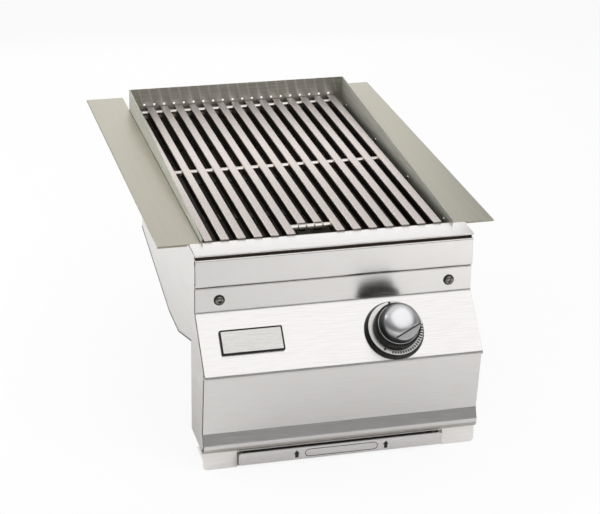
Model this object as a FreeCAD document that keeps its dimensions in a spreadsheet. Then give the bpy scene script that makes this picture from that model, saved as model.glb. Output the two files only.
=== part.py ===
"""Drop-in searing station: a gas sear burner that hangs by two side wings in a counter cut-out.

Millimetres. X to the right, Y to the back, Z up. The origin lies on the counter top, at the middle of the
cut-out's front edge: the control housing stands in front of it and the firebox behind it.
"""
import FreeCAD, Part
import math
import os
import Sketcher

SIZES = {
    # Sheet metal
    "gauge": (1.2, "thickness of every sheet"),
    "bend": (1.0, "inside radius of every fold"),
    # Hanging wings
    "hanger_span": (389.0, "over both wings"),
    "hanger_depth": (521.0, "length of a wing"),
    "hem_gap": (2.75, "hemmed strip, which lies on the counter, outside the side plates"),
    "hanger_leg": (16.0, "leg of a wing along the liner"),
    # Firebox liner
    "liner_width": (290.0, "outside width"),
    "liner_depth": (472.0, "outside depth"),
    "rim_rear": (29.0, "rim above the counter at the rear"),
    "rim_front": (7.0, "rim above the counter at the front"),
    "firebox_drop": (90.0, "liner floor below the counter"),
    "vent_count": (20, "holes in the rear wall"),
    "vent_margin": (18.65, "outer holes from the side walls"),
    "vent_radius": (1.5, "radius of a hole"),
    "vent_rise": (2.7, "hole above the grate's top"),
    "rest_depth": (14.0, "shelf that carries the grate"),
    "rest_leg": (14.0, "leg of that shelf on the wall"),
    "rivet_radius": (2.6, "rivet head"),
    "rivet_height": (1.3, "rivet head"),
    "rivet_drop": (4.5, "rivet below the counter"),
    # Grate
    "grate_top": (4.5, "top of the rods above the counter"),
    "rod_width": (9.5, "width of a rod"),
    "rod_height": (11.0, "height of a rod"),
    "rod_left_gap": (2.1, "first rod from the left wall, where the loose grate lies"),
    "rod_right_gap": (11.3, "last rod from the right wall"),
    "rod_count": (15, "rods"),
    "rod_front": (2.0, "front ends of the rods behind the front wall's face"),
    "rod_rear_gap": (1.5, "rear ends of the rods before the rear wall"),
    "bar_radius": (3.2, "cross bars"),
    "bar_sink": (5.0, "bar axis below the rods' top"),
    "bar_play": (0.05, "bar in its holes"),
    "rear_bar_inset": (11.3, "rear bar from the rods' rear ends"),
    "mid_bar_place": (0.483, "middle bar's share of the rods' length"),
    "lift_slot": (28.0, "slot for the lifting tool at the front"),
    # Front of the housing, as reach in front of the cut-out's edge and drop below the ledge's top
    "case_gap": (12.55, "side plates outside the liner"),
    "ledge_reach": (34.3, "front of ledge and upper band"),
    "ledge_nose": (4.6, "height of the ledge's nose"),
    "tongue_reach": (28.0, "back of the groove under the nose"),
    "tongue_drop": (14.0, "end of the ledge's tongue"),
    "band_drop": (8.4, "top of the upper band"),
    "band_bottom": (37.0, "bottom of the upper band"),
    "recess": (2.3, "screw band behind the upper band"),
    "joggle": (1.6, "height of the step between them"),
    "face_drop": (69.7, "top of the slanted face"),
    "nose_reach": (83.0, "bottom of the slanted face"),
    "nose_drop": (122.9, "bottom of the slanted face"),
    "nose_hem": (4.6, "height of the hem under the slanted face"),
    "hem_return": (9.0, "return of that hem"),
    "lower_setback": (3.7, "lower panel behind the nose"),
    "lower_reach": (70.5, "narrowest place of the lower panel"),
    "lower_drop": (199.0, "narrowest place of the lower panel"),
    "lip_reach": (76.5, "front of the lip"),
    "lip_height": (16.2, "front of the lip below the narrowest place"),
    "foot_reach": (71.0, "bottom of the lip"),
    "foot_height": (8.2, "bottom of the lip below its front"),
    "foot_return": (12.0, "return at the bottom of the lip"),
    "skirt_setback": (3.0, "skirt behind the bottom of the lip"),
    "skirt_inset": (0.4, "skirt from the panel's end"),
    "skirt_depth": (21.9, "skirt below the lip"),
    "skirt_corner": (5.0, "rounding of the skirt's corners"),
    "skirt_flange": (18.0, "flange that carries the skirt"),
    "brace_leg": (18.0, "legs of the brace"),
    # Side plates and shield
    "cap_back": (6.0, "back edge of the housing's ends in front of the cut-out's edge"),
    "shield_front_drop": (113.0, "shield at the housing"),
    "dip_front": (68.0, "front of the shield's flat dip"),
    "dip_rear": (125.0, "rear of the shield's flat dip"),
    "dip_drop": (135.0, "bottom of the dip"),
    "shield_rear": (307.0, "rear end of shield and side plates"),
    "shield_rear_drop": (99.0, "shield at its rear end"),
    # Panel screws and nameplate
    "screw_inset": (26.75, "screws from the panel's ends"),
    "screw_drop": (55.5, "screws below the ledge's top"),
    "screw_head": (5.2, "head radius"),
    "screw_rise": (3.0, "head height"),
    "screw_shank": (2.5, "shank radius"),
    "screw_length": (9.0, "shank length"),
    "socket_radius": (1.9, "hexagon socket in the head"),
    "socket_depth": (1.8, "hexagon socket in the head"),
    "washer_radius": (6.2, "washer"),
    "washer_height": (0.9, "washer"),
    "hole_play": (0.1, "screws in their holes"),
    "bracket_width": (24.0, "brackets behind the screws"),
    "plate_x": (-101.0, "middle of the nameplate"),
    "plate_place": (0.5, "nameplate's place down the slanted face"),
    "plate_width": (71.0, "nameplate"),
    "plate_height": (28.5, "nameplate"),
    "plate_thick": (3.5, "nameplate's rim"),
    "plate_rim": (1.8, "width of the rim"),
    "plate_sink": (0.6, "field below the rim"),
    # Knob, along the axis square to the slanted face
    "knob_x": (61.0, "knob axis from the middle"),
    "knob_place": (0.55, "knob's place down the slanted face"),
    "bezel_base": (34.5, "bezel at the panel"),
    "bezel_radius": (32.0, "bezel under the dial"),
    "bezel_height": (8.0, "bezel"),
    "bezel_bore": (15.0, "hole in bezel and dial"),
    "dial_radius": (31.5, "dial plate"),
    "dial_height": (1.0, "dial plate"),
    "knob_gap": (3.5, "skirt above the dial"),
    "skirt_radius": (26.5, "knob's skirt"),
    "skirt_height": (9.0, "knob's skirt"),
    "hub_radius": (9.0, "knob's hub"),
    "hub_length": (6.0, "hub below the skirt"),
    "bead_radius": (23.4, "bright ring on the skirt"),
    "bead_height": (1.2, "bright ring on the skirt"),
    "dome_radius": (22.5, "knob's dome"),
    "dome_sphere": (34.0, "rounding of the dome's top"),
    "dome_height": (20.5, "knob's dome"),
    "flat_offset": (12.6, "flat on the dome from the axis"),
    "flat_floor": (1.2, "bottom of the flat above the skirt"),
    "flat_turn": (-65.0, "direction of the flat"),
    # Gas valve
    "stem_radius": (4.0, "valve stem"),
    "stem_depth": (22.0, "stem behind the panel's face"),
    "fit_play": (0.05, "running clearance on radius"),
    "push_room": (5.0, "free length behind stem and sleeve"),
    "stem_hole": (7.0, "hole in the panel"),
    "sleeve_radius": (6.0, "sleeve on the stem"),
    "sleeve_front": (5.0, "sleeve behind the panel's face"),
    "sleeve_length": (8.0, "sleeve on the stem"),
    "valve_flange": (19.0, "flange on the panel's back"),
    "valve_flange_height": (3.0, "flange on the panel's back"),
    "valve_neck": (10.0, "radius of the neck"),
    "valve_neck_end": (16.0, "end of the neck behind the panel's face"),
    "valve_radius": (15.0, "valve body"),
    "valve_length": (30.0, "valve body"),
    "tail_radius": (7.0, "tail in the gas pipe"),
    "tail_length": (10.0, "tail in the gas pipe"),
    "outlet_radius": (6.0, "outlet arm"),
    "outlet_start": (14.0, "outlet arm's root behind the stem's axis"),
    "outlet_end": (13.0, "end of the arm in front of the cut-out's edge"),
    # Gas pipe and inlet
    "pipe_radius": (9.0, "gas pipe"),
    "pipe_wall": (2.0, "gas pipe"),
    "pipe_left": (25.0, "pipe to the left of the knob"),
    "pipe_right": (67.0, "pipe to the right of the knob"),
    "tail_bite": (5.0, "tail inside the pipe"),
    "elbow_x": (53.0, "elbow to the right of the knob"),
    "elbow_radius": (7.0, "elbow"),
    "elbow_wall": (1.6, "elbow"),
    "elbow_drop": (30.0, "inlet below the gas pipe"),
    "elbow_bend": (11.0, "elbow's bend"),
    "inlet_start": (2.0, "inlet fitting in front of the cut-out's edge"),
    "inlet_hex": (11.0, "collar of the fitting"),
    "inlet_hex_length": (8.0, "collar of the fitting"),
    "inlet_radius": (7.9375, "flare thread, five eighths of an inch"),
    "inlet_length": (14.0, "flare thread"),
    "inlet_bore": (4.5, "bore of the fitting"),
    # Burner
    "venturi_drop": (113.0, "mixing tube's axis below the counter"),
    "venturi_radius": (15.0, "mixing tube"),
    "venturi_front": (4.0, "mouth in front of the cut-out's edge"),
    "venturi_bend": (24.0, "bend of the tube"),
    "venturi_rise_y": (110.0, "rising end of the tube"),
    "venturi_entry": (4.0, "tube inside the burner pan"),
    "orifice_hex": (7.5, "nozzle's collar"),
    "orifice_hex_length": (5.0, "nozzle's collar"),
    "orifice_radius": (4.5, "nozzle"),
    "orifice_length": (8.0, "nozzle"),
    "orifice_bore": (1.2, "nozzle"),
    "shutter_length": (18.0, "air shutter"),
    "shutter_wall": (1.2, "air shutter"),
    "port_width": (12.0, "air ports"),
    "port_length": (8.0, "air ports"),
    "burner_width": (230.0, "burner pan"),
    "burner_length": (372.0, "burner pan"),
    "burner_height": (30.0, "burner pan"),
    "bracket_height": (6.0, "bars below the burner"),
    "bracket_bar": (14.0, "bars below the burner"),
    "bracket_inset": (20.0, "bars from the burner's ends"),
    "tile_thick": (12.0, "ceramic tiles"),
    "tile_columns": (2, "tiles across"),
    "tile_rows": (3, "tiles along"),
    "frame_border": (8.0, "frame over the tiles' edges"),
    # Ignition
    "electrode_x": (25.0, "electrode to the right of the knob"),
    "electrode_drop": (30.0, "electrode below the counter"),
    "electrode_radius": (4.0, "ceramic sleeve"),
    "electrode_front": (10.0, "ceramic sleeve in front of the wall"),
    "electrode_rear": (44.0, "ceramic sleeve behind the wall"),
    "spark_radius": (1.1, "spark wire"),
    "spark_length": (26.0, "spark wire"),
    "terminal_length": (6.0, "terminal"),
    "piezo_width": (16.0, "igniter"),
    "piezo_depth": (14.0, "igniter"),
    "piezo_height": (24.0, "igniter"),
    "piezo_reach": (26.0, "igniter's middle in front of the cut-out's edge"),
    "piezo_drop": (104.0, "top of the igniter below the counter"),
    "lead_radius": (2.0, "ignition lead"),
    "lead_bend": (7.0, "ignition lead"),
    # Instruction tray
    "tray_inset": (40.25, "tray front from the panel's ends"),
    "tray_height": (14.9, "tray front"),
    "tray_rise": (3.6, "tray's bottom above the skirt's"),
    "tray_thick": (5.0, "tray front"),
    "tray_corner": (3.0, "rounding of the tray front"),
    "slot_play": (1.5, "tray front in the skirt's slot"),
    "slot_gap": (2.6, "top of the slot below the lip"),
    "card_inset": (3.0, "card plate from the tray front's ends"),
    "card_depth": (53.0, "card plate"),
    "card_rise": (11.3, "card plate above the skirt's bottom"),
    "runner_play": (0.3, "card plate in its runners"),
    "runner_lip": (5.0, "lips of a runner"),
}

doc = FreeCAD.newDocument("searing_station")
sheet = doc.addObject("Spreadsheet::Sheet", "Sizes")
for row, (alias, (number, words)) in enumerate(SIZES.items(), start=1):
    sheet.set(f"A{row}", words)
    sheet.set(f"B{row}", str(number))
    sheet.setAlias(f"B{row}", alias)
doc.recompute()


class Measure:
    """A number together with the formula that ties it to the cells of the sheet."""

    def __init__(self, value, text):
        self.value = float(value)
        self.text = text

    def __float__(self):
        return self.value

    def __add__(self, other):
        other = measure(other)
        return Measure(self.value + other.value, f"({self.text} + {other.text})")

    def __sub__(self, other):
        other = measure(other)
        return Measure(self.value - other.value, f"({self.text} - {other.text})")

    def __mul__(self, other):
        other = measure(other)
        return Measure(self.value * other.value, f"({self.text} * {other.text})")

    def __truediv__(self, other):
        other = measure(other)
        return Measure(self.value / other.value, f"({self.text} / {other.text})")

    def __neg__(self):
        return Measure(-self.value, f"(-1 * {self.text})")

    def __rsub__(self, other):
        return measure(other) - self

    __radd__ = __add__
    __rmul__ = __mul__


def measure(number):
    """Take a plain number as a measure; a measure stays as it is."""
    return number if isinstance(number, Measure) else Measure(number, f"{float(number):.10f}")


class Sheet:
    """Reads a size of the sheet by its name."""

    def __getattr__(self, alias):
        return Measure(sheet.get(alias), f"Sizes.{alias}")


size = Sheet()
NODES = []


def keep(label, thing):
    """Name a finished piece: its label is the name of its file."""
    thing.Label = label
    NODES.append(thing)
    return thing


def bind(thing, **formulas):
    """Tie properties of an object to the sheet."""
    for name, formula in formulas.items():
        thing.setExpression(name, measure(formula).text)


def move(thing, x, y, z):
    """Tie the place of an object to the sheet."""
    for axis, formula in zip("xyz", (x, y, z)):
        thing.setExpression(f"Placement.Base.{axis}", measure(formula).text)


def box(low, high):
    """Block between two corners."""
    thing = doc.addObject("Part::Box", "Block")
    spans = [measure(b) - a for a, b in zip(low, high)]
    bind(thing, Length=spans[0], Width=spans[1], Height=spans[2])
    move(thing, *low)
    return thing


TURNS = {
    "X": FreeCAD.Rotation(FreeCAD.Vector(0, 1, 0), 90),
    "Y": FreeCAD.Rotation(FreeCAD.Vector(1, 0, 0), -90),
    "Z": FreeCAD.Rotation(),
}


def cylinder(axis, start, radius, length):
    """Round bar from a start point along X, Y or Z."""
    thing = doc.addObject("Part::Cylinder", "Round")
    thing.Placement.Rotation = TURNS[axis]
    bind(thing, Radius=radius, Height=length)
    move(thing, *start)
    return thing


def group(things):
    """Several separate solids in one object."""
    thing = doc.addObject("Part::Compound", "Group")
    thing.Links = things
    return thing


def cut(base, tool):
    """Base without the tool."""
    thing = doc.addObject("Part::Cut", "Cut")
    thing.Base = base
    thing.Tool = tool
    return thing


def fuse(base, tool):
    """Both in one solid."""
    thing = doc.addObject("Part::Fuse", "Fuse")
    thing.Base = base
    thing.Tool = tool
    return thing


def drawn(body, plane, points):
    """Closed sketch on one of the body's planes, each corner tied to the sheet."""
    sketch = body.newObject("Sketcher::SketchObject", "Outline")
    sketch.AttachmentSupport = [(next(f for f in body.Origin.OriginFeatures if f.Role == plane), "")]
    sketch.MapMode = "FlatFace"
    corners = [FreeCAD.Vector(float(across), float(up), 0) for across, up in points]
    for here, there in zip(corners, corners[1:] + corners[:1]):
        sketch.addGeometry(Part.LineSegment(here, there), False)
    for line, (across, up) in enumerate(points):
        before = (line - 1) % len(points)
        sketch.addConstraint(Sketcher.Constraint("Coincident", before, 2, line, 1))
        for kind, formula in (("DistanceX", measure(across)), ("DistanceY", measure(up))):
            index = sketch.addConstraint(Sketcher.Constraint(kind, -1, 1, line, 1, formula.value))
            sketch.setExpression(f"Constraints[{index}]", formula.text)
    return sketch


def padded(plane, points, length, place=(0, 0, 0)):
    """Outline on a plane, raised by a length along the plane's +X, +Y or +Z."""
    body = doc.addObject("PartDesign::Body", "Body")
    sketch = drawn(body, plane, points)
    pad = body.newObject("PartDesign::Pad", "Pad")
    pad.Profile = sketch
    pad.Reversed = plane == "XZ_Plane"
    bind(pad, Length=length)
    move(body, *place)
    return body


def turned(points):
    """Outline of radius and height, turned round the body's Z axis."""
    body = doc.addObject("PartDesign::Body", "Body")
    sketch = drawn(body, "XZ_Plane", points)
    spin = body.newObject("PartDesign::Revolution", "Turn")
    spin.Profile = sketch
    spin.ReferenceAxis = (sketch, ["V_Axis"])
    spin.Angle = 360
    return body


def turned_along(axis, start, points):
    """Turned piece whose height runs from a start point along X, Y or Z."""
    body = turned(points)
    body.Placement.Rotation = TURNS[axis]
    move(body, *start)
    return body


def tube_profile(inner, outer, low, high):
    """Outline of a ring."""
    return [(inner, low), (outer, low), (outer, high), (inner, high)]


# Plane outlines with round corners, worked out as numbers

def flat(points):
    """Corners as plain pairs of numbers."""
    return [(float(across), float(up)) for across, up in points]


def heading(here, there):
    """Unit direction from one corner to the next."""
    span = math.dist(here, there)
    return (there[0] - here[0]) / span, (there[1] - here[1]) / span


def shifted(points, distance):
    """Open path moved to its left, with mitred corners."""
    ways = [heading(a, b) for a, b in zip(points, points[1:])]
    moved = []
    for index, (across, up) in enumerate(points):
        first = ways[max(index - 1, 0)]
        second = ways[min(index, len(ways) - 1)]
        lean = 1 + first[0] * second[0] + first[1] * second[1]
        moved.append((across - distance * (first[1] + second[1]) / lean,
                      up + distance * (first[0] + second[0]) / lean))
    return moved


def turn_at(a, b, c):
    """Signed turn of a path at its middle corner, positive to the left."""
    first, second = heading(a, b), heading(b, c)
    return math.atan2(first[0] * second[1] - first[1] * second[0], first[0] * second[0] + first[1] * second[1])


def rounded(points, radii, lift):
    """Edges of an open path with an arc at each inner corner; lift puts a pair of numbers into space."""
    edges = []
    start = points[0]
    for a, b, c, radius in zip(points, points[1:], points[2:], radii):
        turn = abs(turn_at(a, b, c))
        reach = radius * math.tan(turn / 2)
        back, ahead = heading(b, a), heading(b, c)
        first = (b[0] + back[0] * reach, b[1] + back[1] * reach)
        last = (b[0] + ahead[0] * reach, b[1] + ahead[1] * reach)
        bisector = heading((0, 0), (back[0] + ahead[0], back[1] + ahead[1]))
        depth = radius / math.cos(turn / 2) - radius
        middle = (b[0] + bisector[0] * depth, b[1] + bisector[1] * depth)
        edges.append(Part.LineSegment(lift(start), lift(first)).toShape())
        edges.append(Part.Arc(lift(first), lift(middle), lift(last)).toShape())
        start = last
    edges.append(Part.LineSegment(lift(start), lift(points[-1])).toShape())
    return edges


def made(shape):
    """Object that holds a shape worked out here."""
    thing = doc.addObject("Part::Feature", "Made")
    thing.Shape = shape
    return thing


def folded(path, low_x, high_x):
    """Sheet folded along a path in the YZ plane: the path is its outer face, the sheet lies to its left."""
    gauge, bend = float(size.gauge), float(size.bend)
    outer = flat(path)
    inner = shifted(outer, gauge)
    turns = [turn_at(a, b, c) for a, b, c in zip(outer, outer[1:], outer[2:])]
    outer_radii = [bend + gauge if turn > 0 else bend for turn in turns]
    inner_radii = [bend if turn > 0 else bend + gauge for turn in turns]

    def lift(pair):
        return FreeCAD.Vector(float(low_x), *pair)

    edges = rounded(outer, outer_radii, lift)
    edges.append(Part.LineSegment(lift(outer[-1]), lift(inner[-1])).toShape())
    edges += rounded(inner[::-1], inner_radii[::-1], lift)
    edges.append(Part.LineSegment(lift(inner[0]), lift(outer[0])).toShape())
    face = Part.Face(Part.Wire(edges))
    return made(face.extrude(FreeCAD.Vector(float(high_x) - float(low_x), 0, 0)))


def bent_tube(x, path, bend, radius, wall):
    """Round tube along a path in the plane at x, with one bend radius; no wall means a solid rod."""
    def lift(pair):
        return FreeCAD.Vector(float(x), *pair)

    points = flat(path)
    spine = Part.Wire(rounded(points, [float(bend)] * (len(points) - 2), lift))
    way = heading(points[0], points[1])

    def swept(r):
        ring = Part.Circle(lift(points[0]), FreeCAD.Vector(0, *way), r).toShape()
        return spine.makePipeShell([Part.Wire(ring)], True, False)

    outside = swept(float(radius))
    return made(outside.cut(swept(float(radius - wall))) if float(wall) else outside)


# Planes that many pieces share

half_liner = size.liner_width / 2
half_panel = half_liner + size.case_gap + size.gauge
top = 2 * size.gauge
inner_wall = half_liner - size.gauge
inner_side = half_panel - size.gauge
rest_top = size.grate_top - size.rod_height


def front_point(reach, drop):
    """Point of the housing's section by its reach in front of the cut-out's edge and drop below the ledge."""
    return -reach, top - drop


# Hanging wings: an angle on the liner whose outer strip is hemmed under

def hanger(side):
    outer = side * size.hanger_span / 2
    hem = side * (half_panel + size.hem_gap)
    wall = side * half_liner
    leg = side * (half_liner + size.gauge)
    points = [(wall, -size.hanger_leg), (leg, -size.hanger_leg), (leg, size.gauge), (hem, size.gauge),
              (hem, 0), (outer, 0), (outer, top), (wall, top)]
    return padded("XZ_Plane", points, size.hanger_depth)


keep("hanger_left", hanger(-1))
keep("hanger_right", hanger(1))

# Firebox liner

wall_outline = [(0, -size.firebox_drop), (size.liner_depth, -size.firebox_drop),
                (size.liner_depth, size.rim_rear), (0, size.rim_front)]
keep("liner_left", padded("YZ_Plane", wall_outline, size.gauge, (-half_liner, 0, 0)))
keep("liner_right", padded("YZ_Plane", wall_outline, size.gauge, (inner_wall, 0, 0)))

rear_face = size.liner_depth - size.gauge
vent_z = size.grate_top + size.vent_rise
last_vent = size.vent_count - 1
vent_pitch = 2 * (inner_wall - size.vent_margin) / last_vent
vents = []
for index in range(round(float(size.vent_count))):
    vent_x = vent_pitch * (index - last_vent / 2)
    vents.append(cylinder("Y", (vent_x, rear_face - size.gauge, vent_z), size.vent_radius, 3 * size.gauge))
rear_sheet = box((-inner_wall, rear_face, -size.firebox_drop), (inner_wall, size.liner_depth, size.rim_rear))
keep("liner_rear", cut(rear_sheet, group(vents)))

electrode_x = size.knob_x + size.electrode_x
electrode_hole = cylinder("Y", (electrode_x, -size.gauge, -size.electrode_drop),
                          size.electrode_radius + size.fit_play, 3 * size.gauge)
front_sheet = box((-inner_wall, 0, -size.firebox_drop), (inner_wall, size.gauge, top))
keep("liner_front", cut(front_sheet, electrode_hole))

floor_top = size.gauge - size.firebox_drop
floor_sheet = box((-inner_wall, size.gauge, -size.firebox_drop), (inner_wall, rear_face, floor_top))
riser_hole = cylinder("Z", (size.knob_x, size.venturi_rise_y, -size.firebox_drop - size.gauge),
                      size.venturi_radius + size.hole_play, 3 * size.gauge)
keep("firebox_floor", cut(floor_sheet, riser_hole))


def grate_rest(wall_y, way):
    """Angle on a wall: its shelf carries the rod ends."""
    points = [(wall_y, rest_top - size.rest_leg), (wall_y + way * size.gauge, rest_top - size.rest_leg),
              (wall_y + way * size.gauge, rest_top - size.gauge),
              (wall_y + way * size.rest_depth, rest_top - size.gauge),
              (wall_y + way * size.rest_depth, rest_top), (wall_y, rest_top)]
    return padded("YZ_Plane", points, 2 * inner_wall, (-inner_wall, 0, 0))


keep("grate_rest_front", grate_rest(size.gauge, 1))
keep("grate_rest_rear", grate_rest(rear_face, -1))


def rivet(side, place):
    """Domed rivet head on the inner face of a side wall, at a share of the wall's length."""
    y = size.liner_depth * place
    head = doc.addObject("Part::Cone", "Rivet")
    head.Placement.Rotation = FreeCAD.Rotation(FreeCAD.Vector(0, 1, 0), -90 * side)
    bind(head, Radius1=size.rivet_radius, Radius2=size.rivet_radius / 2, Height=size.rivet_height)
    move(head, side * inner_wall, y, -size.rivet_drop)
    return head


RIVET_PLACES = (0.06, 0.355, 0.65, 0.945)
keep("wall_rivets", group([rivet(side, place) for side in (-1, 1) for place in RIVET_PLACES]))

# Cooking grate: flat rods on cross bars, two rods cut short for the lifting tool

SHORT_RODS = (6, 7)
rod_rear = rear_face - size.rod_rear_gap
rear_bar_y = rod_rear - size.rear_bar_inset
mid_bar_y = size.rod_front + (rod_rear - size.rod_front) * size.mid_bar_place
lift_bar_y = size.rod_front + size.lift_slot
bar_z = size.grate_top - size.bar_sink
last_rod = size.rod_count - 1
first_rod_x = size.rod_left_gap + size.rod_width / 2 - inner_wall
rod_pitch = (inner_wall - size.rod_right_gap - size.rod_width / 2 - first_rod_x) / last_rod


def rod_x(index):
    return first_rod_x + rod_pitch * index


def cross_bar(y, first, last, play):
    """Bar through the rods from one rod's outer face to another's; play widens it to a hole."""
    low = rod_x(first) - size.rod_width / 2
    length = rod_x(last) - rod_x(first) + size.rod_width
    return cylinder("X", (low, y, bar_z), size.bar_radius + play, length)


bars = {
    "grate_rear_bar": (rear_bar_y, 0, last_rod),
    "grate_mid_bar": (mid_bar_y, 0, last_rod),
    "grate_lift_bar": (lift_bar_y, SHORT_RODS[0] - 1, SHORT_RODS[1] + 1),
}
rods = []
for index in range(round(float(size.rod_count))):
    middle = rod_x(index)
    start = lift_bar_y if index in SHORT_RODS else size.rod_front
    rods.append(box((middle - size.rod_width / 2, start, rest_top),
                    (middle + size.rod_width / 2, rod_rear, size.grate_top)))
bar_holes = group([cross_bar(*bar, size.bar_play) for bar in bars.values()])
keep("grate_rods", cut(group(rods), bar_holes))
for label, bar in bars.items():
    keep(label, cross_bar(*bar, 0))

# Front of the control housing: ledge, control panel and lower panel, each folded from one sheet

screw_face = size.ledge_reach - size.recess
nose_bottom = size.nose_drop + size.nose_hem
lower_top = size.nose_reach - size.lower_setback
lip_drop = size.lower_drop + size.lip_height
foot_drop = lip_drop + size.foot_height

ledge_path = [front_point(*pair) for pair in (
    (measure(0), measure(0)), (size.ledge_reach, measure(0)), (size.ledge_reach, size.ledge_nose),
    (size.tongue_reach, size.ledge_nose), (size.tongue_reach, size.tongue_drop))]
panel_path = [front_point(*pair) for pair in (
    (size.tongue_reach, size.band_drop), (size.ledge_reach, size.band_drop),
    (size.ledge_reach, size.band_bottom), (screw_face, size.band_bottom + size.joggle),
    (screw_face, size.face_drop), (size.nose_reach, size.nose_drop), (size.nose_reach, nose_bottom),
    (size.nose_reach - size.hem_return, nose_bottom))]
lower_path = [front_point(*pair) for pair in (
    (size.nose_reach - size.hem_return - size.lower_setback, nose_bottom), (lower_top, nose_bottom),
    (size.lower_reach, size.lower_drop), (size.lip_reach, lip_drop),
    (size.foot_reach, foot_drop), (size.foot_reach - size.foot_return, foot_drop))]

top_ledge = folded(ledge_path, -half_panel, half_panel)
keep("top_ledge", top_ledge)
lower_panel = folded(lower_path, -half_panel, half_panel)
keep("lower_panel", lower_panel)

# Slanted face: its slope, and the axis square to it through the knob's middle

face_run = size.nose_reach - screw_face
face_fall = size.nose_drop - size.face_drop
face_slope = math.atan2(float(face_fall), float(face_run))
SLOPE_TEXT = f"atan2({face_fall.text}; {face_run.text})"
out_y = Measure(-math.sin(face_slope), f"(-1 * sin({SLOPE_TEXT}))")
out_z = Measure(math.cos(face_slope), f"cos({SLOPE_TEXT})")
knob_y = -(screw_face + face_run * size.knob_place)
knob_z = top - (size.face_drop + face_fall * size.knob_place)


def on_face(thing, x, y, z, rise=0):
    """Turn a piece so that its Z axis stands square on the slanted face, at a point of it."""
    thing.Placement.Rotation = FreeCAD.Rotation(FreeCAD.Vector(1, 0, 0), math.degrees(face_slope))
    thing.setExpression("Placement.Rotation.Angle", SLOPE_TEXT)
    move(thing, x, y + out_y * rise, z + out_z * rise)
    return thing


def on_knob_axis(thing, rise=0):
    return on_face(thing, size.knob_x, knob_y, knob_z, rise)


def upright(radius, length):
    """Cylinder along Z that is placed afterwards."""
    thing = doc.addObject("Part::Cylinder", "Round")
    bind(thing, Radius=radius, Height=length)
    return thing


screw_x = half_panel - size.screw_inset
screw_z = top - size.screw_drop
panel_holes = [on_knob_axis(upright(size.stem_hole, 4 * size.gauge), -2 * size.gauge)]
for side in (-1, 1):
    panel_holes.append(cylinder("Y", (side * screw_x, -screw_face - size.gauge, screw_z),
                                size.screw_shank + size.hole_play, 3 * size.gauge))
control_panel = cut(folded(panel_path, -half_panel, half_panel), group(panel_holes))
keep("control_panel", control_panel)

# Panel screws with their washers, threaded into brackets on the firebox's front

screws, washers, brackets = [], [], []
head_face = -(screw_face + size.washer_height)
for side in (-1, 1):
    x = side * screw_x
    screw_profile = [
        (0, 0), (size.screw_shank, 0), (size.screw_shank, size.screw_length),
        (size.screw_head, size.screw_length), (size.screw_head, size.screw_length + size.screw_rise / 2),
        (size.screw_head - size.screw_rise / 2, size.screw_length + size.screw_rise),
        (size.socket_radius, size.screw_length + size.screw_rise),
        (size.socket_radius, size.screw_length + size.screw_rise - size.socket_depth),
        (0, size.screw_length + size.screw_rise - size.socket_depth)]
    screw = turned(screw_profile)
    screw.Placement.Rotation = FreeCAD.Rotation(FreeCAD.Vector(1, 0, 0), 90)
    move(screw, x, head_face + size.screw_length, screw_z)
    screws.append(screw)
    washers.append(turned_along("Y", (x, head_face, screw_z), tube_profile(
        size.screw_shank + size.hole_play, size.washer_radius, 0, size.washer_height)))
    face_y = size.gauge - screw_face
    arm = x + side * size.bracket_width / 2
    arm_inner = arm - side * size.gauge
    open_end = x - side * size.bracket_width / 2
    foot = arm_inner - side * size.bracket_width / 2
    bracket_outline = [(open_end, face_y), (arm, face_y), (arm, 0), (foot, 0), (foot, -size.gauge),
                       (arm_inner, -size.gauge), (arm_inner, face_y + size.gauge),
                       (open_end, face_y + size.gauge)]
    bracket = padded("XY_Plane", bracket_outline, size.bracket_width, (0, 0, screw_z - size.bracket_width / 2))
    bracket_hole = cylinder("Y", (x, face_y - size.gauge, screw_z), size.screw_shank + size.hole_play,
                            size.screw_length)
    brackets.append(cut(bracket, bracket_hole))
keep("panel_screws", group(screws))
keep("screw_washers", group(washers))
keep("panel_brackets", group(brackets))

# Side plates: one flat sheet each, from the housing's front to the shield's rear end

inside = 0.8 * float(size.gauge)
front_edge = shifted(flat(panel_path), inside) + shifted(flat(lower_path), inside)
tongue_edge = float(size.gauge - size.tongue_reach) - inside / 4
shield_path = [(-size.cap_back, top - size.shield_front_drop), (size.dip_front, top - size.dip_drop),
               (size.dip_rear, top - size.dip_drop), (size.shield_rear, top - size.shield_rear_drop)]
plate_corners = [(float(size.shield_rear), float(size.gauge)), (tongue_edge, float(size.gauge))]
plate_corners += [(tongue_edge, front_edge[0][1])] + front_edge[1:]
plate_corners += flat([front_point(size.foot_reach - size.foot_return, foot_drop),
                       front_point(size.cap_back, foot_drop)] + shield_path)


def side_plate(low_x):
    corners = [FreeCAD.Vector(float(low_x), *pair) for pair in plate_corners]
    face = Part.Face(Part.makePolygon(corners + corners[:1]))
    blank = made(face.extrude(FreeCAD.Vector(float(size.gauge), 0, 0)))
    return cut(blank, group([top_ledge, control_panel, lower_panel]))


keep("side_plate_left", side_plate(-half_panel))
keep("side_plate_right", side_plate(inner_side))

# Heat shield between the side plates, open where the mixing tube and its shutter pass

venturi_z = -size.venturi_drop
shutter_outer = size.venturi_radius + size.fit_play + size.shutter_wall
shield_notch = cylinder("Y", (size.knob_x, -size.cap_back - size.shutter_length, venturi_z),
                        shutter_outer + size.gauge, size.shutter_length + size.dip_front)
keep("bottom_shield", cut(folded(shield_path, -inner_side, inner_side), shield_notch))

# Skirt below the lip, brace at the housing's back, and the tray's runners

skirt_y = size.skirt_setback - size.foot_reach
skirt_half = half_panel - size.skirt_inset
hem_z = top - foot_drop
skirt_z = hem_z - size.skirt_depth
tray_half = half_panel - size.tray_inset
slot_half = tray_half + size.slot_play
slot_z = hem_z - size.slot_gap


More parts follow.
